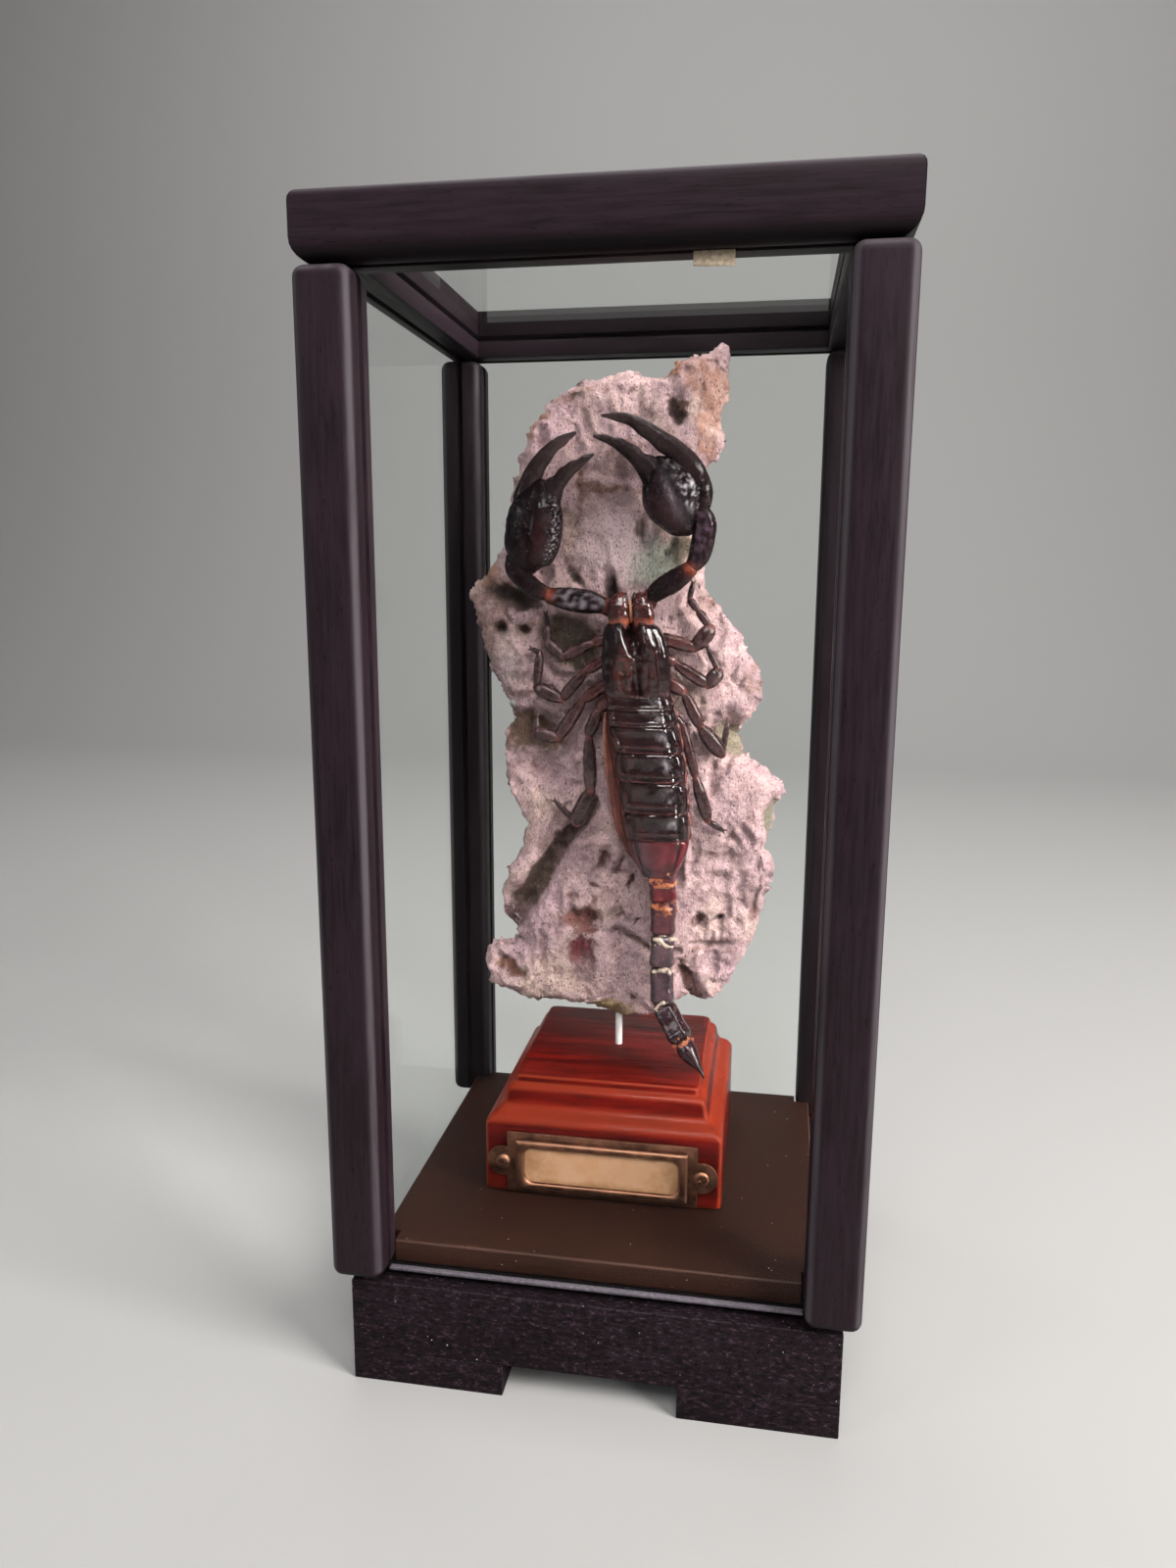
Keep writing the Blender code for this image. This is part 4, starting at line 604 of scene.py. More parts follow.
def bark_surface(pale, grey):
    """Weathered granular bark: stains, painted shade and a painted patch of light come from the mesh, specks
    and fibres from noise, with painted shade in the dips of the grains, fibres and pits.
    """
    paint = Paint("weathered bark", Specular_IOR_Level=0.2)
    drift = paint.clouds(11.0, 5.0, 0.6, twist=0.8)
    warmth = paint.clouds(19.0, 3.0, 0.5, twist=0.5)
    patches = paint.clouds(3.0, 5.0, 0.65, twist=0.6)
    grains = paint.clouds(0.58, 5.0, 0.75, (1, 1, 1.5))
    fibres = paint.clouds(0.42, 4.0, 0.65, (1, 1, 4.0))
    specks = paint.clouds(0.36, 3.0, 0.6, (1, 1, 1.8))
    pits = paint.cells(1.7, (1, 1, 1.4))
    base = paint.blend(paint.between(drift, 0.38, 0.62), pale, grey)
    base = paint.over(base, (pale[0] * 0.95, pale[1] * 1.02, pale[2] * 0.86), warmth, 0.5, 0.66, 0.6)
    base = paint.over(base, paint.times(base, (0.62, 0.5, 0.52)), patches, 0.5, 0.68, 0.6)
    base = paint.over(base, paint.times(base, (1.18, 1.2, 1.2)), patches, 0.46, 0.32, 0.45)
    # The stains, painted shade and painted light break up over the patches and grains
    broken = paint.sum("ADD", paint.sum("MULTIPLY_ADD", patches, 1.2, paint.named("stain_share", "Fac")),
                       paint.sum("MULTIPLY_ADD", grains, 0.9, -1.05))
    base = paint.over(base, paint.named("stain"), broken, 0.22, 0.8, 0.92)
    # Darker in the dips of the grains, fibres and pits and paler on the grains' tops, following their bumps:
    # partly speckle, partly painted shade and painted highlight
    dark = paint.times(base, (0.46, 0.38, 0.39))
    light = paint.times(base, (1.22, 1.22, 1.24))
    base = paint.over(base, dark, grains, 0.49, 0.36, 0.85)
    base = paint.over(base, light, grains, 0.54, 0.66, 0.75)
    base = paint.over(base, dark, fibres, 0.46, 0.34, 0.6)
    base = paint.over(base, paint.times(base, (0.16, 0.11, 0.11)), specks, 0.62, 0.69, 0.85)
    base = paint.over(base, paint.times(base, (0.18, 0.1, 0.1)), pits, 0.17, 0.06, 0.7)
    paint.colour(base)
    paint.rough(0.9)
    paint.raise_by(patches, 1.35, 0.8)
    paint.raise_by(grains, 0.55, 0.9)
    paint.raise_by(fibres, 0.22, 0.6)
    paint.raise_by(paint.between(pits, 0.25, 0.05), -0.4, 0.7)
    return paint.material


def shell(name, rough_low, rough_high, coat, grain_mm, grain_reach, wrinkle=0.0, shine=0.24, film=0.35):
    """Glossy dried chitin coloured by the mesh's own tint, with fine granules and dried creases."""
    paint = Paint(name, Coat_Weight=coat, Coat_Roughness=0.07, Specular_IOR_Level=shine)
    drift = paint.clouds(3.2, 5.0, 0.6, twist=0.6)
    grain = paint.cells(grain_mm)
    dull = paint.clouds(1.6, 3.0, 0.6)
    uneven = paint.blend(paint.between(drift, 0.3, 0.7), (0.55, 0.5, 0.52), (1.4, 1.35, 1.3))
    base = paint.times(paint.named("tint"), uneven)
    paint.colour(paint.over(base, (0.06, 0.034, 0.036), dull, 0.6, 0.78, film))
    paint.rough(paint.between(dull, 0.35, 0.72, rough_low, rough_high))
    paint.raise_by(paint.between(grain, 0.75, 0.1), grain_reach, 0.8)
    if wrinkle:
        paint.raise_by(paint.clouds(0.9, 4.0, 0.6, (1, 1, 2.2), 0.6), wrinkle, 0.8)
    return paint.material


def flaky(name, pale, dark, rough=0.7):
    """Dry crumbs, dust or skin of one finish, mottled between two colours."""
    paint = Paint(name, Specular_IOR_Level=0.35)
    mottle = paint.clouds(0.8, 4.0, 0.6)
    paint.colour(paint.blend(paint.between(mottle, 0.35, 0.65), pale, dark))
    paint.rough(rough)
    paint.raise_by(mottle, 0.08, 0.8)
    return paint.material


# Mesh helpers
def link_piece(name, mesh, material, slot, *replaced):
    """Make a finished mesh a piece of the object, on its one body."""
    mesh.materials.clear()
    mesh.materials.append(material)
    piece = bpy.data.objects.new(name, mesh)
    bpy.context.scene.collection.objects.link(piece)
    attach(piece, "root")
    if replaced:
        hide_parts(*replaced)
    return piece


def smooth_mesh(mesh, angle=35.0):
    mesh.shade_smooth()
    mesh.set_sharp_from_angle(angle=math.radians(angle))


def mesh_from(bm, name, angle=35.0):
    bmesh.ops.recalc_face_normals(bm, faces=bm.faces)
    mesh = bpy.data.meshes.new(name)
    bm.to_mesh(mesh)
    bm.free()
    smooth_mesh(mesh, angle)
    return mesh


def write_values(mesh, name, values):
    mesh.attributes.new(name, "FLOAT", "POINT").data.foreach_set("value", values)


def write_colours(mesh, name, colours):
    rows = np.concatenate((colours, np.ones((len(colours), 1))), axis=1)
    mesh.attributes.new(name, "FLOAT_COLOR", "POINT").data.foreach_set("color", rows.ravel())


def box_mesh(low, high):
    bm = bmesh.new()
    bmesh.ops.create_cube(bm, size=1.0)
    bmesh.ops.scale(bm, verts=bm.verts, vec=Vector(high) - Vector(low))
    bmesh.ops.translate(bm, verts=bm.verts, vec=(Vector(high) + Vector(low)) / 2)
    return bm


def scratch_object(name, bm_or_mesh):
    """A helper object that is taken away again once its mesh has been used."""
    mesh = bm_or_mesh
    if isinstance(bm_or_mesh, bmesh.types.BMesh):
        mesh = bpy.data.meshes.new(name)
        bm_or_mesh.to_mesh(mesh)
        bm_or_mesh.free()
    helper = bpy.data.objects.new(name, mesh)
    bpy.context.scene.collection.objects.link(helper)
    return helper


def bake_mesh(helper, *others):
    """The evaluated mesh of a helper object, after which the helpers are removed."""
    bpy.context.view_layer.update()
    mesh = bpy.data.meshes.new_from_object(helper.evaluated_get(bpy.context.evaluated_depsgraph_get()))
    for used in (helper, *others):
        bpy.data.objects.remove(used, do_unlink=True)
    return mesh


def rounded_box(low, high, radius, segments):
    bm = box_mesh(low, high)
    if radius:
        bmesh.ops.bevel(bm, geom=bm.edges[:], offset=radius, segments=segments, profile=0.5, affect="EDGES")
    return bm


def carved(name, bm, cutters, angle=35.0):
    """A mesh with cutter boxes, given by their corners, taken out of it."""
    body = scratch_object(name, bm)
    helpers = []
    for low, high in cutters:
        helper = scratch_object(name + " cutter", box_mesh(low, high))
        helpers.append(helper)
        boolean = body.modifiers.new("groove", "BOOLEAN")
        boolean.operation = "DIFFERENCE"
        boolean.solver = "EXACT"
        boolean.object = helper
    mesh = bake_mesh(body, *helpers)
    smooth_mesh(mesh, angle)
    return mesh


# Geometry Nodes helpers
class Tree:
    """A Geometry Nodes tree with named inputs that ends in Realize Instances and Set Material."""

    KINDS = {float: "NodeSocketFloat", int: "NodeSocketInt"}

    def __init__(self, name, **inputs):
        self.group = bpy.data.node_groups.new(name, "GeometryNodeTree")
        face = self.group.interface
        face.new_socket(name="Geometry", in_out="INPUT", socket_type="NodeSocketGeometry")
        self.keys = {}
        for label, value in inputs.items():
            socket = face.new_socket(name=label.replace("_", " "), in_out="INPUT",
                                     socket_type=self.KINDS[type(value)])
            socket.default_value = value
            self.keys[label] = socket.identifier
        face.new_socket(name="Geometry", in_out="OUTPUT", socket_type="NodeSocketGeometry")
        self.entry = self.group.nodes.new("NodeGroupInput")
        self.exit = self.group.nodes.new("NodeGroupOutput")

    def take(self, label):
        return self.entry.outputs[label.replace("_", " ")]

    def add(self, kind, values=None, **settings):
        node = self.group.nodes.new(kind)
        for key, value in settings.items():
            setattr(node, key, value)
        for key, value in (values or {}).items():
            if isinstance(value, bpy.types.NodeSocket):
                self.group.links.new(value, node.inputs[key])
            else:
                node.inputs[key].default_value = value
        return node

    def close(self, geometry, material):
        realized = self.add("GeometryNodeRealizeInstances", {"Geometry": geometry}).outputs[0]
        painted = self.add("GeometryNodeSetMaterial", {"Geometry": realized, "Material": material}).outputs[0]
        self.group.links.new(painted, self.exit.inputs[0])
        return self

    def grow(self, name, mesh, **inputs):
        """The plain mesh that the tree makes on a copy of a mesh."""
        host = scratch_object(name + " host", mesh.copy())
        modifier = host.modifiers.new(name, "NODES")
        modifier.node_group = self.group
        for label, value in inputs.items():
            modifier[self.keys[label]] = value
        grown = bake_mesh(host)
        grown.shade_smooth()
        return grown


def scatter_points(tree, where="mask"):
    """Points strewn over the host, thicker where its mask attribute is higher."""
    mask = tree.add("GeometryNodeInputNamedAttribute", {"Name": where}, data_type="FLOAT")
    share = {0: mask.outputs["Attribute"], 1: tree.take("Density")}
    density = tree.add("ShaderNodeMath", share, operation="MULTIPLY")
    return tree.add("GeometryNodeDistributePointsOnFaces",
                    {"Mesh": tree.entry.outputs[0], "Density": density.outputs[0], "Seed": tree.take("Seed")})


def any_vector(tree, low, high, seed):
    """A random vector for each point, between two corners."""
    values = {0: low, 1: high, "Seed": seed}
    return tree.add("FunctionNodeRandomValue", values, data_type="FLOAT_VECTOR").outputs[0]


def tilted(tree, points, low, high, seed):
    """The way each point's surface faces, tilted by a random turn."""
    values = {"Rotation": points.outputs["Rotation"], "Rotate By": any_vector(tree, low, high, seed)}
    return tree.add("FunctionNodeRotateRotation", values, rotation_space="LOCAL").outputs[0]


def strewn(tree, points, piece, turn, scale):
    values = {"Points": points.outputs["Points"], "Instance": piece, "Rotation": turn, "Scale": scale}
    return tree.add("GeometryNodeInstanceOnPoints", values).outputs[0]


def crumb_tree(name, material, size, density, flatness=0.6, where="mask"):
    """Small rough crumbs strewn over a surface."""
    tree = Tree(name, Size=size, Density=density, Seed=1)
    points = scatter_points(tree, where)
    crumb = tree.add("GeometryNodeMeshIcoSphere", {"Radius": tree.take("Size"), "Subdivisions": 1}).outputs[0]
    turn = tilted(tree, points, (-0.9, -0.9, -3.1), (0.9, 0.9, 3.1), 3)
    size_of = any_vector(tree, (0.35, 0.35, 0.2), (1.5, 1.2, flatness), 5)
    return tree.close(strewn(tree, points, crumb, turn, size_of), material)


def bristle_tree(material, length, density):
    """Fine bristles standing out of a surface at random slants."""
    tree = Tree("scorpion bristles", Length=length, Thickness=0.04 * MM, Density=density, Seed=7)
    points = scatter_points(tree)
    hair = tree.add("GeometryNodeMeshCone",
                    {"Vertices": 4, "Radius Top": 0.0, "Radius Bottom": tree.take("Thickness"),
                     "Depth": tree.take("Length")}).outputs[0]
    turn = tilted(tree, points, (-0.6, -0.6, 0.0), (0.6, 0.6, 3.0), 2)
    longer = tree.add("FunctionNodeRandomValue", {2: 0.45, 3: 1.25, "Seed": 4}, data_type="FLOAT").outputs[1]
    return tree.close(strewn(tree, points, hair, turn, longer), material)


def screw_tree(material):
    """Domed cross-head screws at the corners of the host, heads towards -Y."""
    tree = Tree("label screws", Head_Radius=SCREW_HEAD_RADIUS, Head_Height=SCREW_HEAD_HEIGHT,
                Cross_Length=2.3 * MM, Cross_Width=0.45 * MM)

    def number(operation, a, b):
        return tree.add("ShaderNodeMath", {0: a, 1: b}, operation=operation).outputs[0]

    def vector(values):
        return tree.add("ShaderNodeCombineXYZ", values).outputs[0]

    ball = tree.add("GeometryNodeMeshUVSphere",
                    {"Segments": 32, "Rings": 16, "Radius": tree.take("Head_Radius")}).outputs[0]
    squash = number("DIVIDE", tree.take("Head_Height"), tree.take("Head_Radius"))
    head = tree.add("GeometryNodeTransform",
                    {"Geometry": ball, "Scale": vector({0: 1.0, 1: squash, 2: 1.0})}).outputs[0]
    depth = number("MULTIPLY", tree.take("Head_Height"), 1.1)
    back = number("MULTIPLY", tree.take("Head_Height"), -1.0)
    for across, up in (("Cross_Length", "Cross_Width"), ("Cross_Width", "Cross_Length")):
        size = vector({0: tree.take(across), 1: depth, 2: tree.take(up)})
        bar = tree.add("GeometryNodeMeshCube", {"Size": size}).outputs[0]
        cutter = tree.add("GeometryNodeTransform", {"Geometry": bar, "Translation": vector({1: back})})
        cut = {"Mesh 1": head, "Mesh 2": cutter.outputs[0]}
        head = tree.add("GeometryNodeMeshBoolean", cut, operation="DIFFERENCE").outputs[0]
    turn = any_vector(tree, (0.0, -0.5, 0.0), (0.0, 0.6, 0.0), 8)
    screws = tree.add("GeometryNodeInstanceOnPoints",
                      {"Points": tree.entry.outputs[0], "Instance": head, "Rotation": turn}).outputs[0]
    return tree.close(screws, material)


# Settings a user would change
def colour_setting(name, description, default):
    return bpy.props.FloatVectorProperty(
        name=name, description=description, default=default, subtype="COLOR", min=0.0, max=1.0)


def length_setting(name, description, default, low, high):
    return bpy.props.FloatProperty(
        name=name, description=description, default=default, min=low, max=high, unit="LENGTH")


def amount_setting(name, description, default, high):
    return bpy.props.FloatProperty(name=name, description=description, default=default, min=0.0, max=high)


class CaseSettings(bpy.types.PropertyGroup):
    timber: colour_setting("Timber", "Colour of the black stained wood", (0.016, 0.009, 0.0125))
    # The worn colour is also the painted sheen on the roundings
    worn_and_sheen_timber: colour_setting("Worn Timber", "Colour of the timber's rubbed edges", (0.092, 0.078, 0.088))
    edge_round: length_setting(
        "Post Rounding", "Radius of the rounded edges of the posts", POST_ROUND, 0.5 * MM, 4 * MM)
    glass_tint: colour_setting("Glass Tint", "Colour of the glass", (0.97, 0.985, 0.975))
    dust: amount_setting("Dust", "Specks of dust for each square metre of wood", 10000.0, 60000.0)


class StandSettings(bpy.types.PropertyGroup):
    dark_red: colour_setting("Dark Red", "Colour of the stand's dark grain", (0.04, 0.0014, 0.0011))
    bright_red: colour_setting("Bright Red", "Colour of the stand's bright grain", (0.122, 0.0042, 0.0024))
    card: colour_setting("Card", "Colour of the bare label card", (0.425, 0.243, 0.144))
    corner: length_setting(
        "Corner Radius", "Radius of the stand's upright corners", 1.6 * MM, 0.5 * MM, 10 * MM)


class BarkSettings(bpy.types.PropertyGroup):
    pale: colour_setting("Pale Bark", "Pinkish colour of the bark", (0.535, 0.366, 0.362))
    grey: colour_setting("Grey Bark", "Greyer colour between the pinkish patches", (0.395, 0.262, 0.28))
    mesh_size: length_setting("Mesh Size", "Length of the bark's mesh cells", 0.62 * MM, 0.4 * MM, 4 * MM)
    grit: length_setting("Grit", "Height of the bark's small lumps", 1.1 * MM, 0.0, 2 * MM)


class ScorpionSettings(bpy.types.PropertyGroup):
    granules: length_setting("Granules", "Height of the granules on the claws", 0.1 * MM, 0.0, 1 * MM)
    bristle_length: length_setting(
        "Bristle Length", "Length of the longest bristles", 1.5 * MM, 0.1 * MM, 10 * MM)
    bristle_density: amount_setting(
        "Bristle Density", "Bristles for each square metre of limb", 110000.0, 1000000.0)


class StageSettings(bpy.types.PropertyGroup):
    floor: colour_setting("Floor", "Colour of the floor and the backdrop", (0.44, 0.435, 0.425))
    key_power: amount_setting("Key Light", "Power of the main lamp in watts", 17.0, 200.0)
    front_power: amount_setting("Front Light", "Power of the lamp above the front in watts", 5.5, 200.0)
    backdrop_power: amount_setting("Backdrop Light", "Power of the lamp on the backdrop in watts", 8.0, 200.0)
    fill_power: amount_setting("Fill Light", "Power of the fill lamp and the top lamp in watts", 2.0, 200.0)


# Case
def groove_boxes():
    half = GLASS / 2 + GROOVE_SLACK
    reach_x = INNER_X + GLASS_BITE + GROOVE_SLACK
    reach_y = INNER_Y + GLASS_BITE + GROOVE_SLACK
    low, high = POST_BOTTOM - POST, PANE_TOP + GROOVE_SLACK
    boxes = {}
    for end, sign in ENDS.items():
        boxes[end] = ((-reach_x, sign * PANE_Y - half, low), (reach_x, sign * PANE_Y + half, high))
    for side, sign in SIDES.items():
        boxes[side] = ((sign * PANE_X - half, -reach_y, low), (sign * PANE_X + half, reach_y, high))
    boxes["top"] = ((-reach_x, -reach_y, TOP_PANE_Z - half), (reach_x, reach_y, TOP_PANE_Z + half))
    return boxes


def corners():
    """The case's four corners: end and side, and the signs of x and y there."""
    for end, sign_y in ENDS.items():
        for side, sign_x in SIDES.items():
            yield end, side, sign_x, sign_y


def join_loops(bm, loops):
    """Faces between each closed loop of points and the next."""
    count = len(loops[0])
    for near, far in zip(loops, loops[1:]):
        for i in range(count):
            j = (i + 1) % count
            bm.faces.new((near[i], near[j], far[j], far[i]))


# Rail section, outer face towards -Y: distance in from the outer face, height, in millimetres
RAIL_SECTION = (
    (4.6, 0), (3.4, 0.16), (2.3, 0.62), (1.35, 1.35), (0.62, 2.3), (0.16, 3.4), (0, 4.6), (0, 9), (0, 11.6),
    (0.15, 12.5), (0.6, 13.3), (1.3, 13.82), (2.2, 14), (6, 14), (12.3, 14), (12.75, 13.8), (12.9, 13.3),
    (12.9, 0.6), (12.75, 0.15), (12.3, 0),
)
# How far the mitre's outer corner is rounded off, how fast that fades inwards, and its share along and across
MITRE_ROUND = 1.3 * MM
MITRE_FADE = 1.2
MITRE_ALONG = 0.25
MITRE_ACROSS = 0.12


def rail_mesh(name, length, turn, centre, grooves):
    """A rail along X with mitred ends, turned about Z to its side of the case."""
    bm = bmesh.new()
    loops = []
    for sign in (-1, 1):
        loop = []
        for inset, height in RAIL_SECTION:
            corner = MITRE_ROUND * math.exp(-inset / MITRE_FADE)
            end = length / 2 - GAP / 2 - inset * MM - corner * MITRE_ALONG
            depth = -POST / 2 + inset * MM + corner * MITRE_ACROSS
            loop.append(bm.verts.new((sign * end, depth, height * MM - RAIL_HEIGHT / 2)))
        loops.append(loop)
    join_loops(bm, loops)
    bm.faces.new(loops[0])
    bm.faces.new(list(reversed(loops[1])))
    bmesh.ops.recalc_face_normals(bm, faces=bm.faces)
    place = Matrix.Translation(centre) @ Matrix.Rotation(math.radians(turn), 4, "Z")
    bmesh.ops.transform(bm, verts=bm.verts, matrix=place)
    return carved(name, bm, grooves)


class SCORPION_OT_case_cover(bpy.types.Operator):
    """Make the grooved posts and the mitred top rails of the lift-off cover"""

    bl_idname = "scorpion.case_cover"
    bl_label = "Case Cover"

    def execute(self, context):
        settings = context.scene.scorpion_case
        grooves = groove_boxes()
        # The posts and the rail at the back get darker copies of the wood: painted shade
        back_shade_timber, back_shade_worn_and_sheen = shade_of(settings.timber, 0.45), shade_of(settings.worn_and_sheen_timber, 0.35)
        uprights = {"front": black_wood("black wood upright", 2, settings.timber, settings.worn_and_sheen_timber),
                    "back": black_wood("black wood upright at the back", 2, back_shade_timber, back_shade_worn_and_sheen)}
        for end, side, sign_x, sign_y in corners():
            x, y = sign_x * PANE_X, sign_y * PANE_Y
            low = (x - POST / 2, y - POST / 2, POST_BOTTOM)
            high = (x + POST / 2, y + POST / 2, RAIL_BOTTOM - GAP)
            name = f"post_{end}_{side}"
            mesh = carved(name, rounded_box(low, high, settings.edge_round, 6), (grooves[end], grooves[side]))
            link_piece(name + "_timber", mesh, uprights[end], "black_wood", name)
        level = RAIL_BOTTOM + RAIL_HEIGHT / 2
        across = black_wood("black wood across", 0, settings.timber, settings.worn_and_sheen_timber)
        deep = black_wood("black wood front to back", 1, settings.timber, settings.worn_and_sheen_timber)
        rear = black_wood("black wood across the back", 0, back_shade_timber, back_shade_worn_and_sheen)
        places = {
            "front": (CASE_WIDTH, 0.0, (0, -PANE_Y, level), across),
            "right": (CASE_DEPTH, 90.0, (PANE_X, 0, level), deep),
            "back": (CASE_WIDTH, 180.0, (0, PANE_Y, level), rear),
            "left": (CASE_DEPTH, 270.0, (-PANE_X, 0, level), deep),
        }
        for name, (length, turn, centre, material) in places.items():
            mesh = rail_mesh(f"rail_{name}", length, turn, centre, (grooves[name], grooves["top"]))
            link_piece(f"rail_{name}_timber", mesh, material, "black_wood", f"rail_{name}")
        return {"FINISHED"}


class SCORPION_OT_case_base(bpy.types.Operator):
    """Make the plinth, its foot blocks and the floor board, and give the seat of the cover its finish"""

    bl_idname = "scorpion.case_base"
    bl_label = "Case Base"

    def execute(self, context):
        settings = context.scene.scorpion_case
        rough = black_wood("rough black wood", 0, shade_of(settings.timber, 0.8), settings.worn_and_sheen_timber, True)
        edge_x, edge_y = PLINTH_EDGE_X, PLINTH_EDGE_Y
        plinth = rounded_box((-edge_x, -edge_y, FOOT_HEIGHT), (edge_x, edge_y, PLINTH_TOP), 0.35 * MM, 3)
        link_piece("plinth_timber", mesh_from(plinth, "plinth"), rough, "black_wood", "plinth")
        for end, side, sign_x, sign_y in corners():
            xs = sorted((sign_x * edge_x, sign_x * (edge_x - FOOT_LENGTH)))
            ys = sorted((sign_y * edge_y, sign_y * (edge_y - FOOT_DEPTH)))
            foot = rounded_box((xs[0], ys[0], 0), (xs[1], ys[1], FOOT_HEIGHT), 0.25 * MM, 3)
            name = f"foot_{end}_{side}"
            link_piece(name + "_block", mesh_from(foot, name), rough, "black_wood", name)
        seat = black_wood("unlit black wood", 0, shade_of(settings.timber, 0.15), settings.timber, True)
        NODES["cover_seat"].material_slots[0].material = seat
        floor_x, floor_y = HALF_X - FLOOR_INSET, HALF_Y - FLOOR_INSET
        notches = []
        for _, _, sign_x, sign_y in corners():
            xs = sorted((sign_x * (INNER_X - NOTCH_SLACK), sign_x * HALF_X))
            ys = sorted((sign_y * (INNER_Y - NOTCH_SLACK), sign_y * HALF_Y))
            notches.append(((xs[0], ys[0], PLINTH_TOP), (xs[1], ys[1], CASE_HEIGHT)))
        board = rounded_box((-floor_x, -floor_y, SEAT_TOP + GAP), (floor_x, floor_y, FLOOR_TOP), 0.7 * MM, 3)
        brown = black_wood("dark brown board", 0, (0.018, 0.0062, 0.0038), (0.054, 0.028, 0.021))
        planed = carved("floor board", board, notches)
        link_piece("floor_board_planed", planed, brown, "brown_wood", "floor_board")
        return {"FINISHED"}


class SCORPION_OT_glass(bpy.types.Operator):
    """Give the five panes their glass"""

    bl_idname = "scorpion.glass"
    bl_label = "Glass Panes"

    def execute(self, context):
        glass = clear_glass("clear glass", context.scene.scorpion_case.glass_tint)
        for name in ("front", "back", "left", "right", "top"):
            NODES[f"glass_{name}"].material_slots[0].material = glass
        ground = flaky("ground glass edge", (0.1, 0.086, 0.1), (0.055, 0.045, 0.055), 0.6)
        side = INNER_X - GROUND_EDGE_SLACK
        low = (-side, -PANE_Y - GLASS / 2 - GROUND_EDGE_SKIN, POST_BOTTOM - GROUND_EDGE_SKIN)
        high = (side, -PANE_Y + GLASS / 2 + GROUND_EDGE_SKIN, POST_BOTTOM + GROUND_EDGE_HEIGHT)
        edge = rounded_box(low, high, 0.2 * MM, 2)
        link_piece("glass_front_ground_edge", mesh_from(edge, "ground edge"), ground, "clear_glass")
        return {"FINISHED"}


def rounded_square(centre, half, corner, steps=7):
    """Points round a level square with rounded corners."""
    points = []
    reach = (half - corner) * math.sqrt(2)
    for quarter in range(4):
        middle = quarter * math.pi / 2 + math.pi / 4
        for i in range(steps + 1):
            angle = quarter * math.pi / 2 + i / steps * math.pi / 2
            points.append(centre + Vector((reach * math.cos(middle) + corner * math.cos(angle),
                                           reach * math.sin(middle) + corner * math.sin(angle), 0.0)))
    return points


class SCORPION_OT_stand(bpy.types.Operator):
    """Make the moulded red stand and the rod"""

    bl_idname = "scorpion.stand"
    bl_label = "Stand and Rod"

    def execute(self, context):
        settings = context.scene.scorpion_stand
        material = red_wood(settings.dark_red, settings.bright_red)
        bm = bmesh.new()
        rows = []
        for inset, height in STAND_MOULDING:
            centre = Vector((STAND_X, STAND_Y, STAND_BOTTOM + height * MM))
            row = rounded_square(centre, STAND_SIDE / 2 - inset * MM, settings.corner)
            rows.append([bm.verts.new(point) for point in row])
        join_loops(bm, rows)
        bm.faces.new(list(reversed(rows[0])))
        bm.faces.new(rows[-1])
        link_piece("stand_moulded", mesh_from(bm, "stand", 50.0), material, "red_wood", "stand")

        bm = bmesh.new()
        bmesh.ops.create_cone(bm, cap_ends=True, segments=32, radius1=ROD_RADIUS, radius2=ROD_RADIUS,
                              depth=ROD_TOP - ROD_BOTTOM)
        bmesh.ops.translate(bm, verts=bm.verts, vec=(STAND_X, STAND_Y, (ROD_TOP + ROD_BOTTOM) / 2))
        link_piece("rod_turned", mesh_from(bm, "rod"), off_white_rod(), "rod_metal", "rod")
        return {"FINISHED"}


def label_point(x, depth, z):
    """A point of the label holder, from millimetres across, out from the stand and up."""
    return Vector((STAND_X + x * MM, LABEL_BACK - depth * MM, LABEL_Z + z * MM))


def plate_outline(steps=24):
    """The plate with a round ear at either end, clockwise in x and z."""
    half_x, half_z = PLATE_HALF
    ear, offset = EAR_RADIUS / MM, EAR_OFFSET / MM
    sweep = math.pi - math.atan2(math.sqrt(ear ** 2 - (offset - half_x) ** 2), offset - half_x)
    outline = []
    for sign in (1, -1):
        outline.append((sign * half_x, -sign * half_z))
        for i in range(steps + 1):
            angle = -sweep + i / steps * 2 * sweep
            outline.append((sign * (offset + ear * math.cos(angle)), sign * ear * math.sin(angle)))
        outline.append((sign * half_x, sign * half_z))
    return outline


def rounded_oblong(half_x, half_z, radius, steps=6):
    """Points of an oblong with rounded corners, from its right side up and round."""
    points = []
    for quarter, (side, up) in enumerate(((1, 1), (-1, 1), (-1, -1), (1, -1))):
        for i in range(steps + 1):
            angle = (quarter + i / steps) * math.pi / 2
            points.append((side * (half_x - radius) + radius * math.cos(angle),
                           up * (half_z - radius) + radius * math.sin(angle)))
    return points


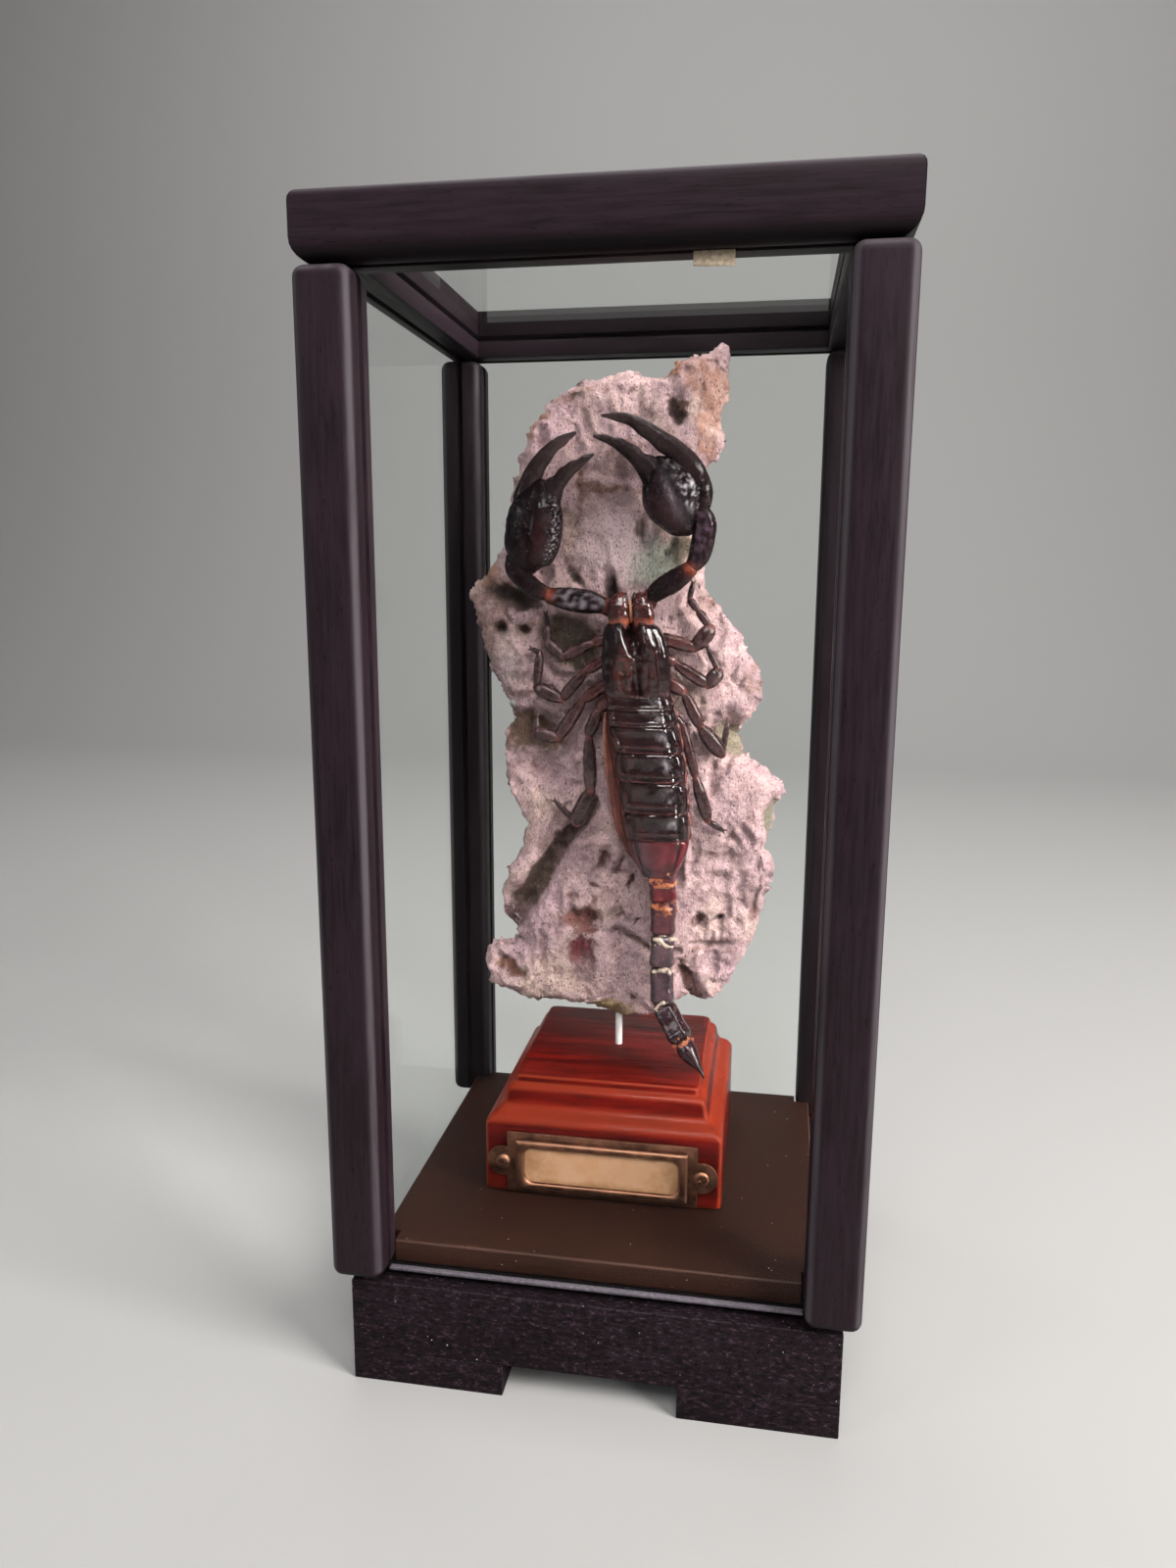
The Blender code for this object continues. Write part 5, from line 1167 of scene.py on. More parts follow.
class SCORPION_OT_label(bpy.types.Operator):
    """Make the label holder with its raised frame, the bare card and the two screws"""

    bl_idname = "scorpion.label"
    bl_label = "Label Holder"

    def execute(self, context):
        metal = bronze("dark bronze")
        thick = PLATE_THICK / MM
        bm = bmesh.new()
        rows = []
        for depth, share in ((0.0, 1.0), (thick - 0.2, 1.0), (thick - 0.06, 0.997), (thick, 0.988)):
            rows.append([bm.verts.new(label_point(x * share, depth, z * share)) for x, z in plate_outline()])
        join_loops(bm, rows)
        bm.faces.new(rows[0])
        bm.faces.new(list(reversed(rows[-1])))
        rows = []
        for *oblong, depth in BEZEL_LEVELS:
            rows.append([bm.verts.new(label_point(x, depth, z)) for x, z in rounded_oblong(*oblong)])
        join_loops(bm, rows + rows[:1])
        holder = mesh_from(bm, "label holder", 40.0)
        link_piece("label_holder_stamped", holder, metal, "bronze", "label_holder")

        card_x, card_z = CARD_HALF
        card = rounded_box(label_point(-card_x, 1.3, -card_z), label_point(card_x, 0.9, card_z), 0.05 * MM, 1)
        paper = parchment(context.scene.scorpion_stand.card)
        link_piece("label_card_bare", mesh_from(card, "label card"), paper, "parchment", "label_card")

        places = bpy.data.meshes.new("screw places")
        ears = [label_point(sign * EAR_OFFSET / MM, thick + 0.1, 0) for sign in (-1, 1)]
        places.from_pydata(ears, [], [])
        heads = screw_tree(metal).grow("label_screws", places)
        smooth_mesh(heads, 40.0)
        link_piece("label_screws_crosshead", heads, metal, "bronze", "label_screw_left", "label_screw_right")
        return {"FINISHED"}


# Bark
def spot_shares(x, z, spots, power=1.5, edge=0.6):
    """For each oval spot, its share of 0 to 1 at every point."""
    for cx, cz, rx, rz, turn, *rest in spots:
        c, s = math.cos(math.radians(turn)), math.sin(math.radians(turn))
        u = ((x - cx) * c + (z - cz) * s) / rx
        v = ((z - cz) * c - (x - cx) * s) / rz
        yield np.exp(-np.minimum(u * u + v * v, 40.0) ** power * edge), rest


def cloud_values(points, size, shift):
    """Noise of one size at each point."""
    return np.array([noise.noise(Vector(point) / size + Vector((shift, shift, shift))) for point in points])


def flat_clouds(x, z, level, size, shift=0.0):
    """Noise of one size that is the same through the bark's thickness."""
    return cloud_values(np.stack((x, np.full(len(x), level), z), axis=1), size, shift)


def layered_clouds(points, layers):
    total = np.zeros(len(points))
    for size, shift, height, folded in layers:
        values = cloud_values(points, size, shift)
        total += (np.abs(values) if folded else values) * height
    return total


def edge_distance(points, outline):
    """Distance of each point from a closed outline, and the direction away from its nearest edge."""
    start = np.asarray(outline, float)
    best = np.full(len(points), 1e9)
    away = np.zeros((len(points), 2))
    for a, run in zip(start, np.roll(start, -1, axis=0) - start):
        share = np.clip(((points - a) @ run) / (run @ run), 0.0, 1.0)
        offset = points - (a + share[:, None] * run)
        distance = np.sqrt((offset ** 2).sum(axis=1))
        closer = distance < best
        best = np.where(closer, distance, best)
        away = np.where(closer[:, None], offset / np.maximum(distance, 1e-9)[:, None], away)
    return best, away


def bark_depth(x, z):
    """How far the front of the bark is sunk at each point, in millimetres."""
    depth = np.zeros(len(x))
    for share, (deep,) in spot_shares(x, z, BARK_HOLLOWS):
        depth = np.maximum(depth, deep * share)
    for ax, az, bx, bz, half, deep in BARK_FURROWS:
        run = np.array((bx - ax, bz - az), float)
        spot = np.stack((x - ax, z - az), axis=1)
        share = np.clip(spot @ run / (run @ run), 0.0, 1.0)
        off = np.linalg.norm(spot - share[:, None] * run, axis=1) / half
        depth = np.maximum(depth, deep * np.exp(-off ** 3))
    for share, (deep,) in spot_shares(x, z, BARK_PITS, 2.0):
        depth = depth + deep * share
    return depth + flat_clouds(x, z, 3.1, 26.0) * 1.7 + flat_clouds(x, z, 7.7, 9.0) * 0.8


def slab_mesh(outline, y, half, cell):
    """An even mesh of a flat slab with the given outline in x and z."""
    curve = bpy.data.curves.new("bark edge", "CURVE")
    curve.dimensions = "2D"
    curve.fill_mode = "BOTH"
    curve.extrude = half
    spline = curve.splines.new("POLY")
    spline.points.add(len(outline) - 1)
    for point, (x, z) in zip(spline.points, outline):
        point.co = (x, z, 0, 1)
    spline.use_cyclic_u = True
    sketch = bpy.data.objects.new("bark edge", curve)
    bpy.context.scene.collection.objects.link(sketch)
    flat = bake_mesh(sketch)
    flat.transform(Matrix.Translation((0, y, 0)) @ Matrix.Rotation(math.pi / 2, 4, "X"))
    helper = scratch_object("bark slab", flat)
    remesh = helper.modifiers.new("even mesh", "REMESH")
    remesh.mode = "VOXEL"
    remesh.voxel_size = cell
    return bake_mesh(helper)


class SCORPION_OT_bark(bpy.types.Operator):
    """Make the slab of weathered bark with its hollows, furrows, grit and stains"""

    bl_idname = "scorpion.bark"
    bl_label = "Bark"

    def execute(self, context):
        settings = context.scene.scorpion_bark
        outline = [(x * MM, z * MM) for x, z in BARK_OUTLINE]
        mesh = slab_mesh(outline, BARK_Y * MM, BARK_HALF * MM, settings.mesh_size)
        points = np.zeros(len(mesh.vertices) * 3)
        mesh.vertices.foreach_get("co", points)
        points = points.reshape(-1, 3) / MM
        x, y, z = points.T
        inside, direction = edge_distance(points[:, [0, 2]], BARK_OUTLINE)
        share = (y - BARK_Y) / BARK_HALF
        front = share < 0
        rounding = np.minimum(inside / BARK_EDGE_ROUND, 1.0)
        thick = BARK_EDGE_SHARE + (1 - BARK_EDGE_SHARE) * np.sqrt(1 - (1 - rounding) ** 2)
        sunk = bark_depth(x, z)
        rear = flat_clouds(x, z, 21.3, 26.0) * 2.7 + flat_clouds(x, z, 33.3, 9.0) * 1.2
        new_y = BARK_Y + share * BARK_HALF * thick
        new_y = np.where(front, new_y - share * sunk * (0.35 + 0.65 * rounding), new_y + share * rear)

        ragged = layered_clouds(np.stack((x, new_y * 2, z), axis=1), BARK_RAGGED)
        lumps = layered_clouds(np.stack((x, new_y, z * 0.7), axis=1), BARK_LUMPS)
        grit = settings.grit / MM
        lifted = (lumps - 0.5) * grit * np.minimum(np.abs(share) * 1.5, 1.0)
        new_y = new_y + np.where(front, lifted, -lifted)
        new_y = np.where(front, np.maximum(new_y, BARK_FRONT_LIMIT), new_y)
        out = ragged * (1 - rounding) - (lumps - 0.4) * grit * 0.5 * (1 - rounding)
        moved = np.stack((x + direction[:, 0] * out, new_y, z + direction[:, 1] * out), axis=1) * MM
        mesh.vertices.foreach_set("co", moved.ravel())

        warp_x = flat_clouds(x, z, 5.1, 4.5, 2.0) * 1.8 + flat_clouds(x, z, 5.1, 1.6, 4.0) * 0.8
        warp_z = flat_clouds(x, z, 5.1, 4.5, 12.0) * 1.8 + flat_clouds(x, z, 5.1, 1.6, 14.0) * 0.8
        self.stain(mesh, x + warp_x, z + warp_z, np.where(front, 1.0, 0.25), sunk)
        mesh.update()
        mesh.shade_smooth()
        link_piece("bark_weathered", mesh, bark_surface(settings.pale, settings.grey), "bark", "bark")
        return {"FINISHED"}

    def stain(self, mesh, x, z, shown, sunk):
        """Write each point's colour, from stains, painted shade in its hollows and a painted patch of light,
        and how strongly it covers the plain bark.
        """
        colour = np.tile(SUNK_SHADE_COLOUR, (len(x), 1))
        # The deeper a hollow, the more painted shade covers it
        cover = np.clip((sunk - 2.2) / 4.0, 0.0, 0.6) * shown
        for share, (strength, shade) in spot_shares(x, z, BARK_STAINS_SHADE_AND_LIGHT, 2.0, 0.7):
            amount = share * strength * shown
            colour = colour * (1 - amount[:, None]) + np.array(shade) * amount[:, None]
            cover = 1 - (1 - cover) * (1 - amount)
        write_colours(mesh, "stain", colour)
        write_values(mesh, "stain_share", cover)


# Scorpion
class Skin:
    """Gathers closed shapes into one mesh; each point has a tint, and shares of bristles and of beads."""

    def __init__(self):
        self.points, self.faces, self.tints, self.masks, self.zones = [], [], [], [], []

    def close_rings(self, rows, tints, mask=0.0, zones=None):
        """Skin a run of equal rings and close both ends to a point."""
        base, count = len(self.points), len(rows[0])
        for r, row in enumerate(rows):
            self.points.extend(row)
            self.tints.extend(tints[r])
            self.zones.extend(zones[r] if zones else [0.0] * count)
        for r in range(len(rows) - 1):
            near, far = base + r * count, base + (r + 1) * count
            for i in range(count):
                j = (i + 1) % count
                self.faces.append((near + i, near + j, far + j, far + i))
        for r, flip in ((0, True), (len(rows) - 1, False)):
            self.points.append(sum(rows[r], Vector()) / count)
            self.tints.append(tints[r][0])
            self.zones.append(0.0)
            ring, tip = base + r * count, len(self.points) - 1
            for i in range(count):
                pair = (ring + i, ring + (i + 1) % count)
                self.faces.append((pair[1], pair[0], tip) if flip else (*pair, tip))
        self.masks.extend([mask] * (len(self.points) - base))

    def mesh(self, name):
        raw = bpy.data.meshes.new(name)
        raw.from_pydata([point * MM for point in self.points], [], self.faces)
        bm = bmesh.new()
        bm.from_mesh(raw)
        bmesh.ops.recalc_face_normals(bm, faces=bm.faces)
        bm.to_mesh(raw)
        bm.free()
        write_colours(raw, "tint", np.array(self.tints, float))
        write_values(raw, "mask", self.masks)
        write_values(raw, "zone", self.zones)
        raw.shade_smooth()
        return raw


def superellipse(sides, power):
    ring = []
    for i in range(sides):
        angle = 2 * math.pi * i / sides
        c, s = math.cos(angle), math.sin(angle)
        ring.append((math.copysign(abs(c) ** (2 / power), c), math.copysign(abs(s) ** (2 / power), s)))
    return ring


def smooth_path(stations, steps):
    """A smooth run of evenly spaced stations through the given ones."""
    data = np.array(stations, float)
    lengths = np.concatenate(([0.0], np.cumsum(np.linalg.norm(np.diff(data[:, :3], axis=0), axis=1))))
    slopes = np.gradient(data, lengths, axis=0)
    made = []
    for at in np.linspace(0.0, lengths[-1], steps):
        i = min(max(int(np.searchsorted(lengths, at, side="right")) - 1, 0), len(data) - 2)
        span = lengths[i + 1] - lengths[i]
        t = (at - lengths[i]) / span
        made.append(data[i] * (2 * t ** 3 - 3 * t ** 2 + 1) + data[i + 1] * (3 * t ** 2 - 2 * t ** 3)
                    + slopes[i] * span * (t ** 3 - 2 * t ** 2 + t) + slopes[i + 1] * span * (t ** 3 - t ** 2))
    return np.array(made)


def mix(a, b, share):
    """The colour that goes from a to b as the share goes from 0 to 1."""
    share = min(max(share, 0.0), 1.0)
    return tuple(p + (q - p) * share for p, q in zip(a, b))


def bump_at(value, centre, half):
    """1 where the value is at the centre, fading on either side."""
    return math.exp(-((value - centre) / half) ** 2)


# Turns, in degrees, at which a limb's rounded ends have their extra rings
END_TURNS = (25, 50, 74)


def limb(skin, form, stations, tint, relief=None, mask=0.0, zone=None):
    """A closed limb along stations of x, y, z and half width, with rounded ends and carved relief."""
    thickness, sides, steps, power, ends = LIMB_FORMS[form]
    path = smooth_path(stations, steps)
    runs = np.gradient(path[:, :3], axis=0)
    cuts = []
    for k in range(steps):
        ahead = Vector(runs[k]).normalized()
        cuts.append((Vector(path[k, :3]), ahead, max(path[k, 3], 0.05), k / (steps - 1)))
    first, last = cuts[0], cuts[-1]
    for angle in map(math.radians, END_TURNS):
        reach, narrow = math.sin(angle) * ends, math.cos(angle)
        cuts.insert(0, (first[0] - first[1] * first[2] * reach, first[1], first[2] * narrow, 0.0))
        cuts.append((last[0] + last[1] * last[2] * reach, last[1], last[2] * narrow, 1.0))
    shape = superellipse(sides, power)
    rows, tints, zones = [], [], []
    for place, ahead, width, share in cuts:
        depth = Vector((0, 1, 0))
        depth = (depth - ahead * depth.dot(ahead)).normalized()
        across = depth.cross(ahead)
        row, shades = [], []
        for c, s in shape:
            out = across * (width * c) + depth * (width * thickness * s)
            point = place + out
            if relief:
                point = point + out.normalized() * relief(share, c, s, point)
            row.append(point)
            shades.append(tint(share, c, s) if callable(tint) else tint)
        rows.append(row)
        tints.append(shades)
        zones.append([zone(share, c, s) if zone else 0.0 for c, s in shape])
    skin.close_rings(rows, tints, mask, zones)


def spot(across, middle, wide, along, centre, long):
    """1 at one place of a surface, fading with the distance across and along it."""
    return bump_at(across, middle, wide) * bump_at(along, centre, long)


def arched(share, margin=0.03):
    """From nearly 0 up to 1 and back again along a piece."""
    return math.sin(math.pi * min(max(share, margin), 1 - margin))


def cloud(*spots):
    return noise.noise(Vector(spots))


def grains(point, size, height):
    """Rounded granules: a height for one point from noise of one size."""
    return max(noise.noise(point / size), -0.15) * height


BODY_SIDES = 144


def body_ring():
    """A body section as points across and in depth: flat on top, with steep side facets."""
    for i in range(BODY_SIDES):
        angle = 2 * math.pi * i / BODY_SIDES
        c, s = math.cos(angle), math.sin(angle)
        top = abs(s) ** 0.62
        yield math.copysign(abs(c) ** 0.82, c), -top if s > 0 else top * 0.8


CARAPACE_RINGS = 76
# Forms on top of the head shield: how deep they sink, the line they mirror about, how far off it and how wide
# they are, and where along the shield and how long
CARAPACE_FORMS = {
    "lobes": (-1.15, 0.02, 0.46, 0.26, 0.26, 0.3),
    "eyes": (-0.6, 0.02, 0.075, 0.05, 0.5, 0.045),
    "hollow": (1.1, 0.0, 0.0, 0.26, 0.84, 0.1),
    "troughs": (0.7, 0.0, 0.34, 0.07, 0.7, 0.12),
    "flanks": (0.5, 0.0, 0.78, 0.05, 0.55, 0.3),
}


def make_carapace():
    """The head shield: two egg-shaped lobes with a deep furrow between them and a notch in front."""
    skin = Skin()
    path = smooth_path([(x, t, z, w) for x, z, w, t in CARAPACE], CARAPACE_RINGS)
    rows, tints = [], []
    for k, (x, thick, z, half) in enumerate(path):
        share = k / (CARAPACE_RINGS - 1)
        front = bump_at(share, 0.0, 0.3)
        row, shades = [], []
        for c, s in body_ring():
            sunk = 0.0
            if s < 0:
                furrow = (1.6 + 1.8 * front) * bump_at(c, 0.02, 0.12 + 0.12 * front)
                sunk = furrow * (1 - 0.7 * bump_at(share, 0.5, 0.07)) - 0.3 * bump_at(share, 0.955, 0.025)
                for depth, middle, off, wide, centre, long in CARAPACE_FORMS.values():
                    sunk += depth * spot(abs(c - middle), off, wide, share, centre, long)
            notch = 3.0 * bump_at(c, 0.02, 0.3) * front * front
            point = Vector((x + half * c, BODY_Y + thick * s + sunk, z - notch))
            rough = grains(point, 0.55, 0.1) * max(abs(c) - 0.45, 0.0) * 2.0
            point.y -= rough + noise.noise(point / 1.9) * 0.16 + noise.noise(point / 4.5) * 0.3
            row.append(point)
            red = 0.38 * spot(c, -0.35, 0.3, share, 0.62, 0.26) + 0.12 * bump_at(c, 0.4, 0.3)
            shades.append(mix(mix(BLACK, RED_BROWN, red), RED_BLACK, 0.7 * max(share - 0.75, 0.0) * 4))
        rows.append(row)
        tints.append(shades)
    skin.close_rings(rows, tints, 0.02)
    return skin


# Steps along one back plate, from its front edge to its rear one: share, width, lift
PLATE_STEPS = (
    (0, 0.93, -0.1), (0.03, 0.94, -0.08), (0.07, 0.975, 0.02), (0.12, 0.995, 0.06), (0.2, 1, 0.02),
    (0.32, 1, 0), (0.46, 1, 0), (0.58, 1, 0), (0.67, 1, 0.03), (0.715, 1, 0.14), (0.755, 1, 0.16),
    (0.8, 1, -0.02), (0.85, 1, 0.02), (0.89, 1.002, 0.14), (0.93, 1.004, 0.24), (0.955, 1, 0.18),
    (0.975, 0.985, 0), (0.99, 0.95, -0.14),
)


def plate_sunk(c, share, arch, side, whole):
    """How far the top of a back plate is sunk, in millimetres, apart from its lift."""
    crease = 0.55 * bump_at(abs(c), 0.7, 0.045) * arch
    lobe = 0.6 * bump_at(abs(c), 0.87, 0.12) * arch - 0.45 * side * (1 - arch)
    keel = 0.12 * spot(c, 0.0, 0.05, share, 0.4, 0.25) * whole
    dent = 0.25 * spot(abs(c), 0.36, 0.16, share, 0.42, 0.25)
    return dent + crease - keel - lobe


def plate_tint(c, share, plate, whole):
    plain = mix(BLACK, RED_BLACK, 0.1 + 0.7 * bump_at(c, -0.7, 0.35))
    if not whole:
        plain = mix(DEEP_RED, MAUVE, 0.75 * bump_at(c, -0.55, 0.45) + 0.3 * bump_at(share, 1.0, 0.3))
    # Pale patches on the right of each whole plate: painted highlight
    highlight_patch = spot(c, 0.52, 0.13, share, 0.42, 0.2) * whole
    plain = mix(plain, PAINTED_HIGHLIGHT, 0.55 * highlight_patch * max(0.55 + cloud(c * 9, plate * 1.7, share * 7) * 1.6, 0.0))
    # Black in the crease beside each lobe: painted shade
    plain = mix(plain, BLACK, 0.8 * bump_at(abs(c), 0.7, 0.05))
    uneven = 0.65 + 0.7 * cloud(c * 3.5, plate * 2.3, share * 4)
    ridge = sum(height * bump_at(share, at, half)
                for height, at, half in ((0.45, 0.735, 0.035), (0.8, 0.94, 0.03), (0.9, 0.0, 0.04)))
    return mix(plain, PLATE_EDGE, uneven * ridge * (0.72 if whole else 0.3))


def make_back():
    """The seven plates of the back: each lifts over the next and has a rounded lobe on either side."""
    skin = Skin()
    rows, tints = [], []
    for plate, (front, rear) in enumerate(zip(BACK_PLATES, BACK_PLATES[1:])):
        whole = plate < len(BACK_PLATES) - 2
        for share, wide, lift in PLATE_STEPS:
            x, z, w, t = (a + (b - a) * share for a, b in zip(front, rear))
            arch = arched(share) ** 0.5
            if not whole:
                w, t = (a + (b - a) * share ** 1.6 for a, b in zip(front[2:], rear[2:]))
                wide, lift = 1.0 - 0.05 * (share < 0.02), lift * 0.25
                arch = 0.8 * arched(share + 0.1, 0.1) ** 0.5
            row, shades = [], []
            for c, s in body_ring():
                side = min(max((abs(c) - 0.7) / 0.12, 0.0), 1.0)
                point = Vector((x + w * wide * c * (1 - 0.045 * side * (1 - arch)), BODY_Y + t * wide * s, z))
                if s < 0:
                    raised = lift * (1 - 0.5 * side) + cloud(point.x / 2.8, plate * 3.0, point.z / 2.2) * 0.22
                    point.y += plate_sunk(c, share, arch, side, whole) - raised
                    point.z -= 0.5 * (1 - c * c) * bump_at(share, 0.97, 0.15) * (0.6 if whole else 0.0)
                row.append(point)
                shades.append(plate_tint(c, share, plate, whole))
            rows.append(row)
            tints.append(shades)
    skin.close_rings(rows, tints, 0.03)
    return skin


# Colours of the tail's segments, and their width along each
TAIL_TONES = (
    (0.08, 0.008, 0.012), (0.06, 0.014, 0.02), (0.06, 0.032, 0.04), (0.055, 0.032, 0.04), STING_ROOT,
)
TAIL_SHAPE = (
    (-0.04, 0.55), (0.04, 0.8), (0.12, 0.97), (0.3, 1.03), (0.55, 1), (0.78, 1.05), (0.9, 1.04), (0.97, 0.86),
    (1.03, 0.6),
)


def make_tail():
    """Five keeled tail segments and the sting."""
    skin = Skin()

    def relief(share, c, s, point):
        keels = trough = 0.0
        if s < 0:
            keels = 0.22 * bump_at(abs(c), 0.66, 0.12) * (0.4 + 0.6 * bump_at(share, 0.6, 0.35))
            trough = 0.14 * bump_at(c, 0.0, 0.3)
        beads = 0.5 + 0.5 * math.sin(share * 60)
        return keels * (0.75 + 0.25 * beads) + 0.15 * bump_at(s, 0.1, 0.15) - trough \
            + grains(point, 0.5, 0.04) + noise.noise(point / 1.8) * 0.08

    for near, far, tone in zip(TAIL, TAIL[1:], TAIL_TONES):
        start, end = Vector(near[:3]), Vector(far[:3])
        stations = [(*start.lerp(end, share), (near[3] + (far[3] - near[3]) * share) * full)
                    for share, full in TAIL_SHAPE]

        def tint(share, c, s, tone=tone):
            return mix(tone, shade_of(tone, 0.4), 0.8 * bump_at(abs(c), 0.75, 0.22))

        limb(skin, "tail", stations, tint, relief, 0.35)
    limb(skin, "sting", STING_BULB, lambda share, c, s: mix(STING_ROOT, STING_TIP, share * 1.4 - 0.4),
         lambda share, c, s, point: grains(point, 0.6, 0.1) * (1 - share), 0.6)
    return skin


def make_arm(skin, side, arm, height):
    """One arm: keeled granular pieces with orange joints, and on one piece a grey film on the left arm, a
    painted sheen on the right.
    """
    def relief(share, c, s, point):
        keels = 0.2 * bump_at(c, 0.55, 0.16) + 0.2 * bump_at(c, -0.55, 0.16) if s < 0 else 0.0
        return keels * arched(share) + grains(point, 0.5, height * 1.2) + noise.noise(point / 1.6) * 0.1

    for k, piece in enumerate(arm):
        def tint(share, c, s, k=k, film=ARM_FILM_AND_SHEEN.get((side, k))):
            plain = BLACK if k else RED_BLACK
            # On the left arm a grey film, on the right arm a painted sheen
            if film and s < 0:
                patch = cloud(share * 8, c * 2.4 + share * 4, 4.2) * 2.2 + 0.45
                plain = mix(plain, film, patch * spot(c, 0.1, 0.55, share, 0.5, 0.38))
            joint = bump_at(share, 1.0 if k < 2 else 0.0, 0.1)
            return mix(plain, ORANGE, 0.8 * joint * (0.55 + 0.45 * bump_at(c, 0.1, 0.7)))

        limb(skin, "arm", piece, tint, relief, 0.8)


def make_claw(skin, side, claw, height):
    """The granular hand of one claw, with beads along its outer edge."""
    def relief(share, c, s, point):
        if s > 0:
            return 0.0
        inward = c * side
        swell = 0.45 * spot(inward, -0.3, 0.25, share, 0.42, 0.3)
        keel = 0.42 * bump_at(inward, -0.8, 0.09) + 0.32 * bump_at(inward, 0.3, 0.06)
        trough = 0.45 * spot(inward, 0.08, 0.12, share, 0.5, 0.35)
        rough = 0.5 + 1.3 * bump_at(abs(c), 0.85, 0.22) + (0.8 if inward > 0.3 else 0.0)
        return (swell + keel * 0.8 - trough) * arched(share, 0.0) ** 0.5 \
            + grains(point, 0.62, height * 1.2) * rough + noise.noise(point / 2.4) * 0.2

    def tint(share, c, s):
        inner = spot(c * side, -0.4, 0.5, share, 0.34, 0.36)
        if side < 0:
            plain = mix(CLAW_BLACK, CLAW_RED, inner)
            # Pale flecks along the left hand's inner edge: painted glints
            glints = max(cloud(share * 42, c * 16, 6.1) * 3.0 - 0.35, 0.0)
            return mix(plain, PAINTED_HIGHLIGHT, glints * spot(c, 0.78, 0.15, share, 0.45, 0.34))
        plain = mix(CLAW_BLACK, CLAW_BROWN, inner)
        # A grey band down the middle of the right hand is a painted reflection, and pale patches towards its
        # hinge are a painted sheen
        plain = mix(plain, CLAW_REFLECTION_GREY, 0.8 * spot(c, 0.05, 0.22, share, 0.45, 0.4))
        sheen = max(cloud(share * 16, c * 9, 2.7) * 2.6 - 0.1, 0.0)
        return mix(plain, PAINTED_HIGHLIGHT, sheen * spot(c, 0.58, 0.24, share, 0.55, 0.3))

    def beaded(share, c, s):
        return float(s < 0.2 and 0.62 < -c * side < 0.97 and 0.12 < share < 0.72) * (1.0 if side < 0 else 0.5)

    limb(skin, "hand", claw, tint, relief, 0.5, beaded)


def make_finger(skin, side, hinge, stations, height):
    """A curved finger, knobbly on its inner edge, with a groove where a movable one hinges."""
    def relief(share, c, s, point):
        knobs = (0.3 * math.sin(share * 37) + 0.24 * math.sin(share * 21 + 1.0)) * (1 - share * 0.7)
        notch = 0.9 * bump_at(share, hinge + 0.03 * c, 0.02) if s < 0.3 else 0.0
        keels = 0.16 * bump_at(c, 0.35, 0.12) + 0.16 * bump_at(c, -0.45, 0.12) if s < 0 else 0.0
        return knobs * bump_at(c * side, 1.0, 0.45) + keels * (1 - share) - notch \
            + grains(point, 0.5, height) * (1.1 - share)

    limb(skin, "finger", stations, lambda share, c, s: mix(BLACK, FINGER_TIP, share * 1.2 - 0.2), relief, 0.7)


def make_arms(granules):
    """The two arms, the hands of the claws, their fingers and the soft skin at the fingers' roots."""
    skin = Skin()
    height = granules / MM
    for side, arm in ((-1, ARM_LEFT), (1, ARM_RIGHT)):
        make_arm(skin, side, arm, height)
    for side, claw in ((-1, CLAW_LEFT), (1, CLAW_RIGHT)):
        make_claw(skin, side, claw, height)
    for side, hinge, stations in FINGERS:
        make_finger(skin, side, hinge, stations, height)
    for x, y, z, w in CLAW_JOINTS:
        fold = ((x - 1.5, y + 0.4, z - 0.5, w * 0.5), (x, y, z, w), (x + 1.5, y + 0.4, z + 0.7, w * 0.5))
        limb(skin, "hand skin", fold, CLAW_JOINT, lambda share, c, s, point: noise.noise(point / 0.7) * 0.2)
    return skin


def make_fangs():
    """The two fangs with their hooks, and the thin feeler between them."""
    skin = Skin()

    def tint(share, c, s):
        return mix(mix(RED_BLACK, ORANGE, bump_at(share, 0.2, 0.11)), FANG_TIP, share - 0.3)

    def relief(share, c, s, point):
        return grains(point, 0.5, 0.1) + 0.12 * math.sin(share * 22) * bump_at(share, 0.7, 0.25)

    for side, fang in zip((-1, 1), FANGS):
        limb(skin, "fang", [(x, BODY_Y - 0.6, z, w) for x, z, w in fang], tint, relief, 0.3)
        x = fang[-1][0]
        for shift in (-0.8, 0.8):
            hook = ((x + shift, BODY_Y - 0.8, 191.4, 0.9), (x + shift * 1.1, BODY_Y - 0.9, 192.8, 0.8),
                    (x + shift * 0.8 - side * 0.3, BODY_Y - 0.8, 193.9, 0.35))
            limb(skin, "fang hook", hook, FANG_HOOK)
    feeler = ((1.8, BODY_Y - 1, 186.4, 0.25), (1.7, BODY_Y - 2.1, 189, 0.32), (1.5, BODY_Y - 2, 192.2, 0.15))
    limb(skin, "feeler", feeler, FEELER)
    return skin


# Width along a piece of a leg, and along its last piece
LEG_SHAPE = ((0.0, 0.48), (0.08, 0.66), (0.24, 0.98), (0.5, 1.12), (0.76, 1.1), (0.91, 0.84), (1.0, 0.48))
FOOT_SHAPE = ((0.0, 0.6), (0.15, 0.85), (0.5, 0.95), (0.8, 0.8), (1.0, 0.35))


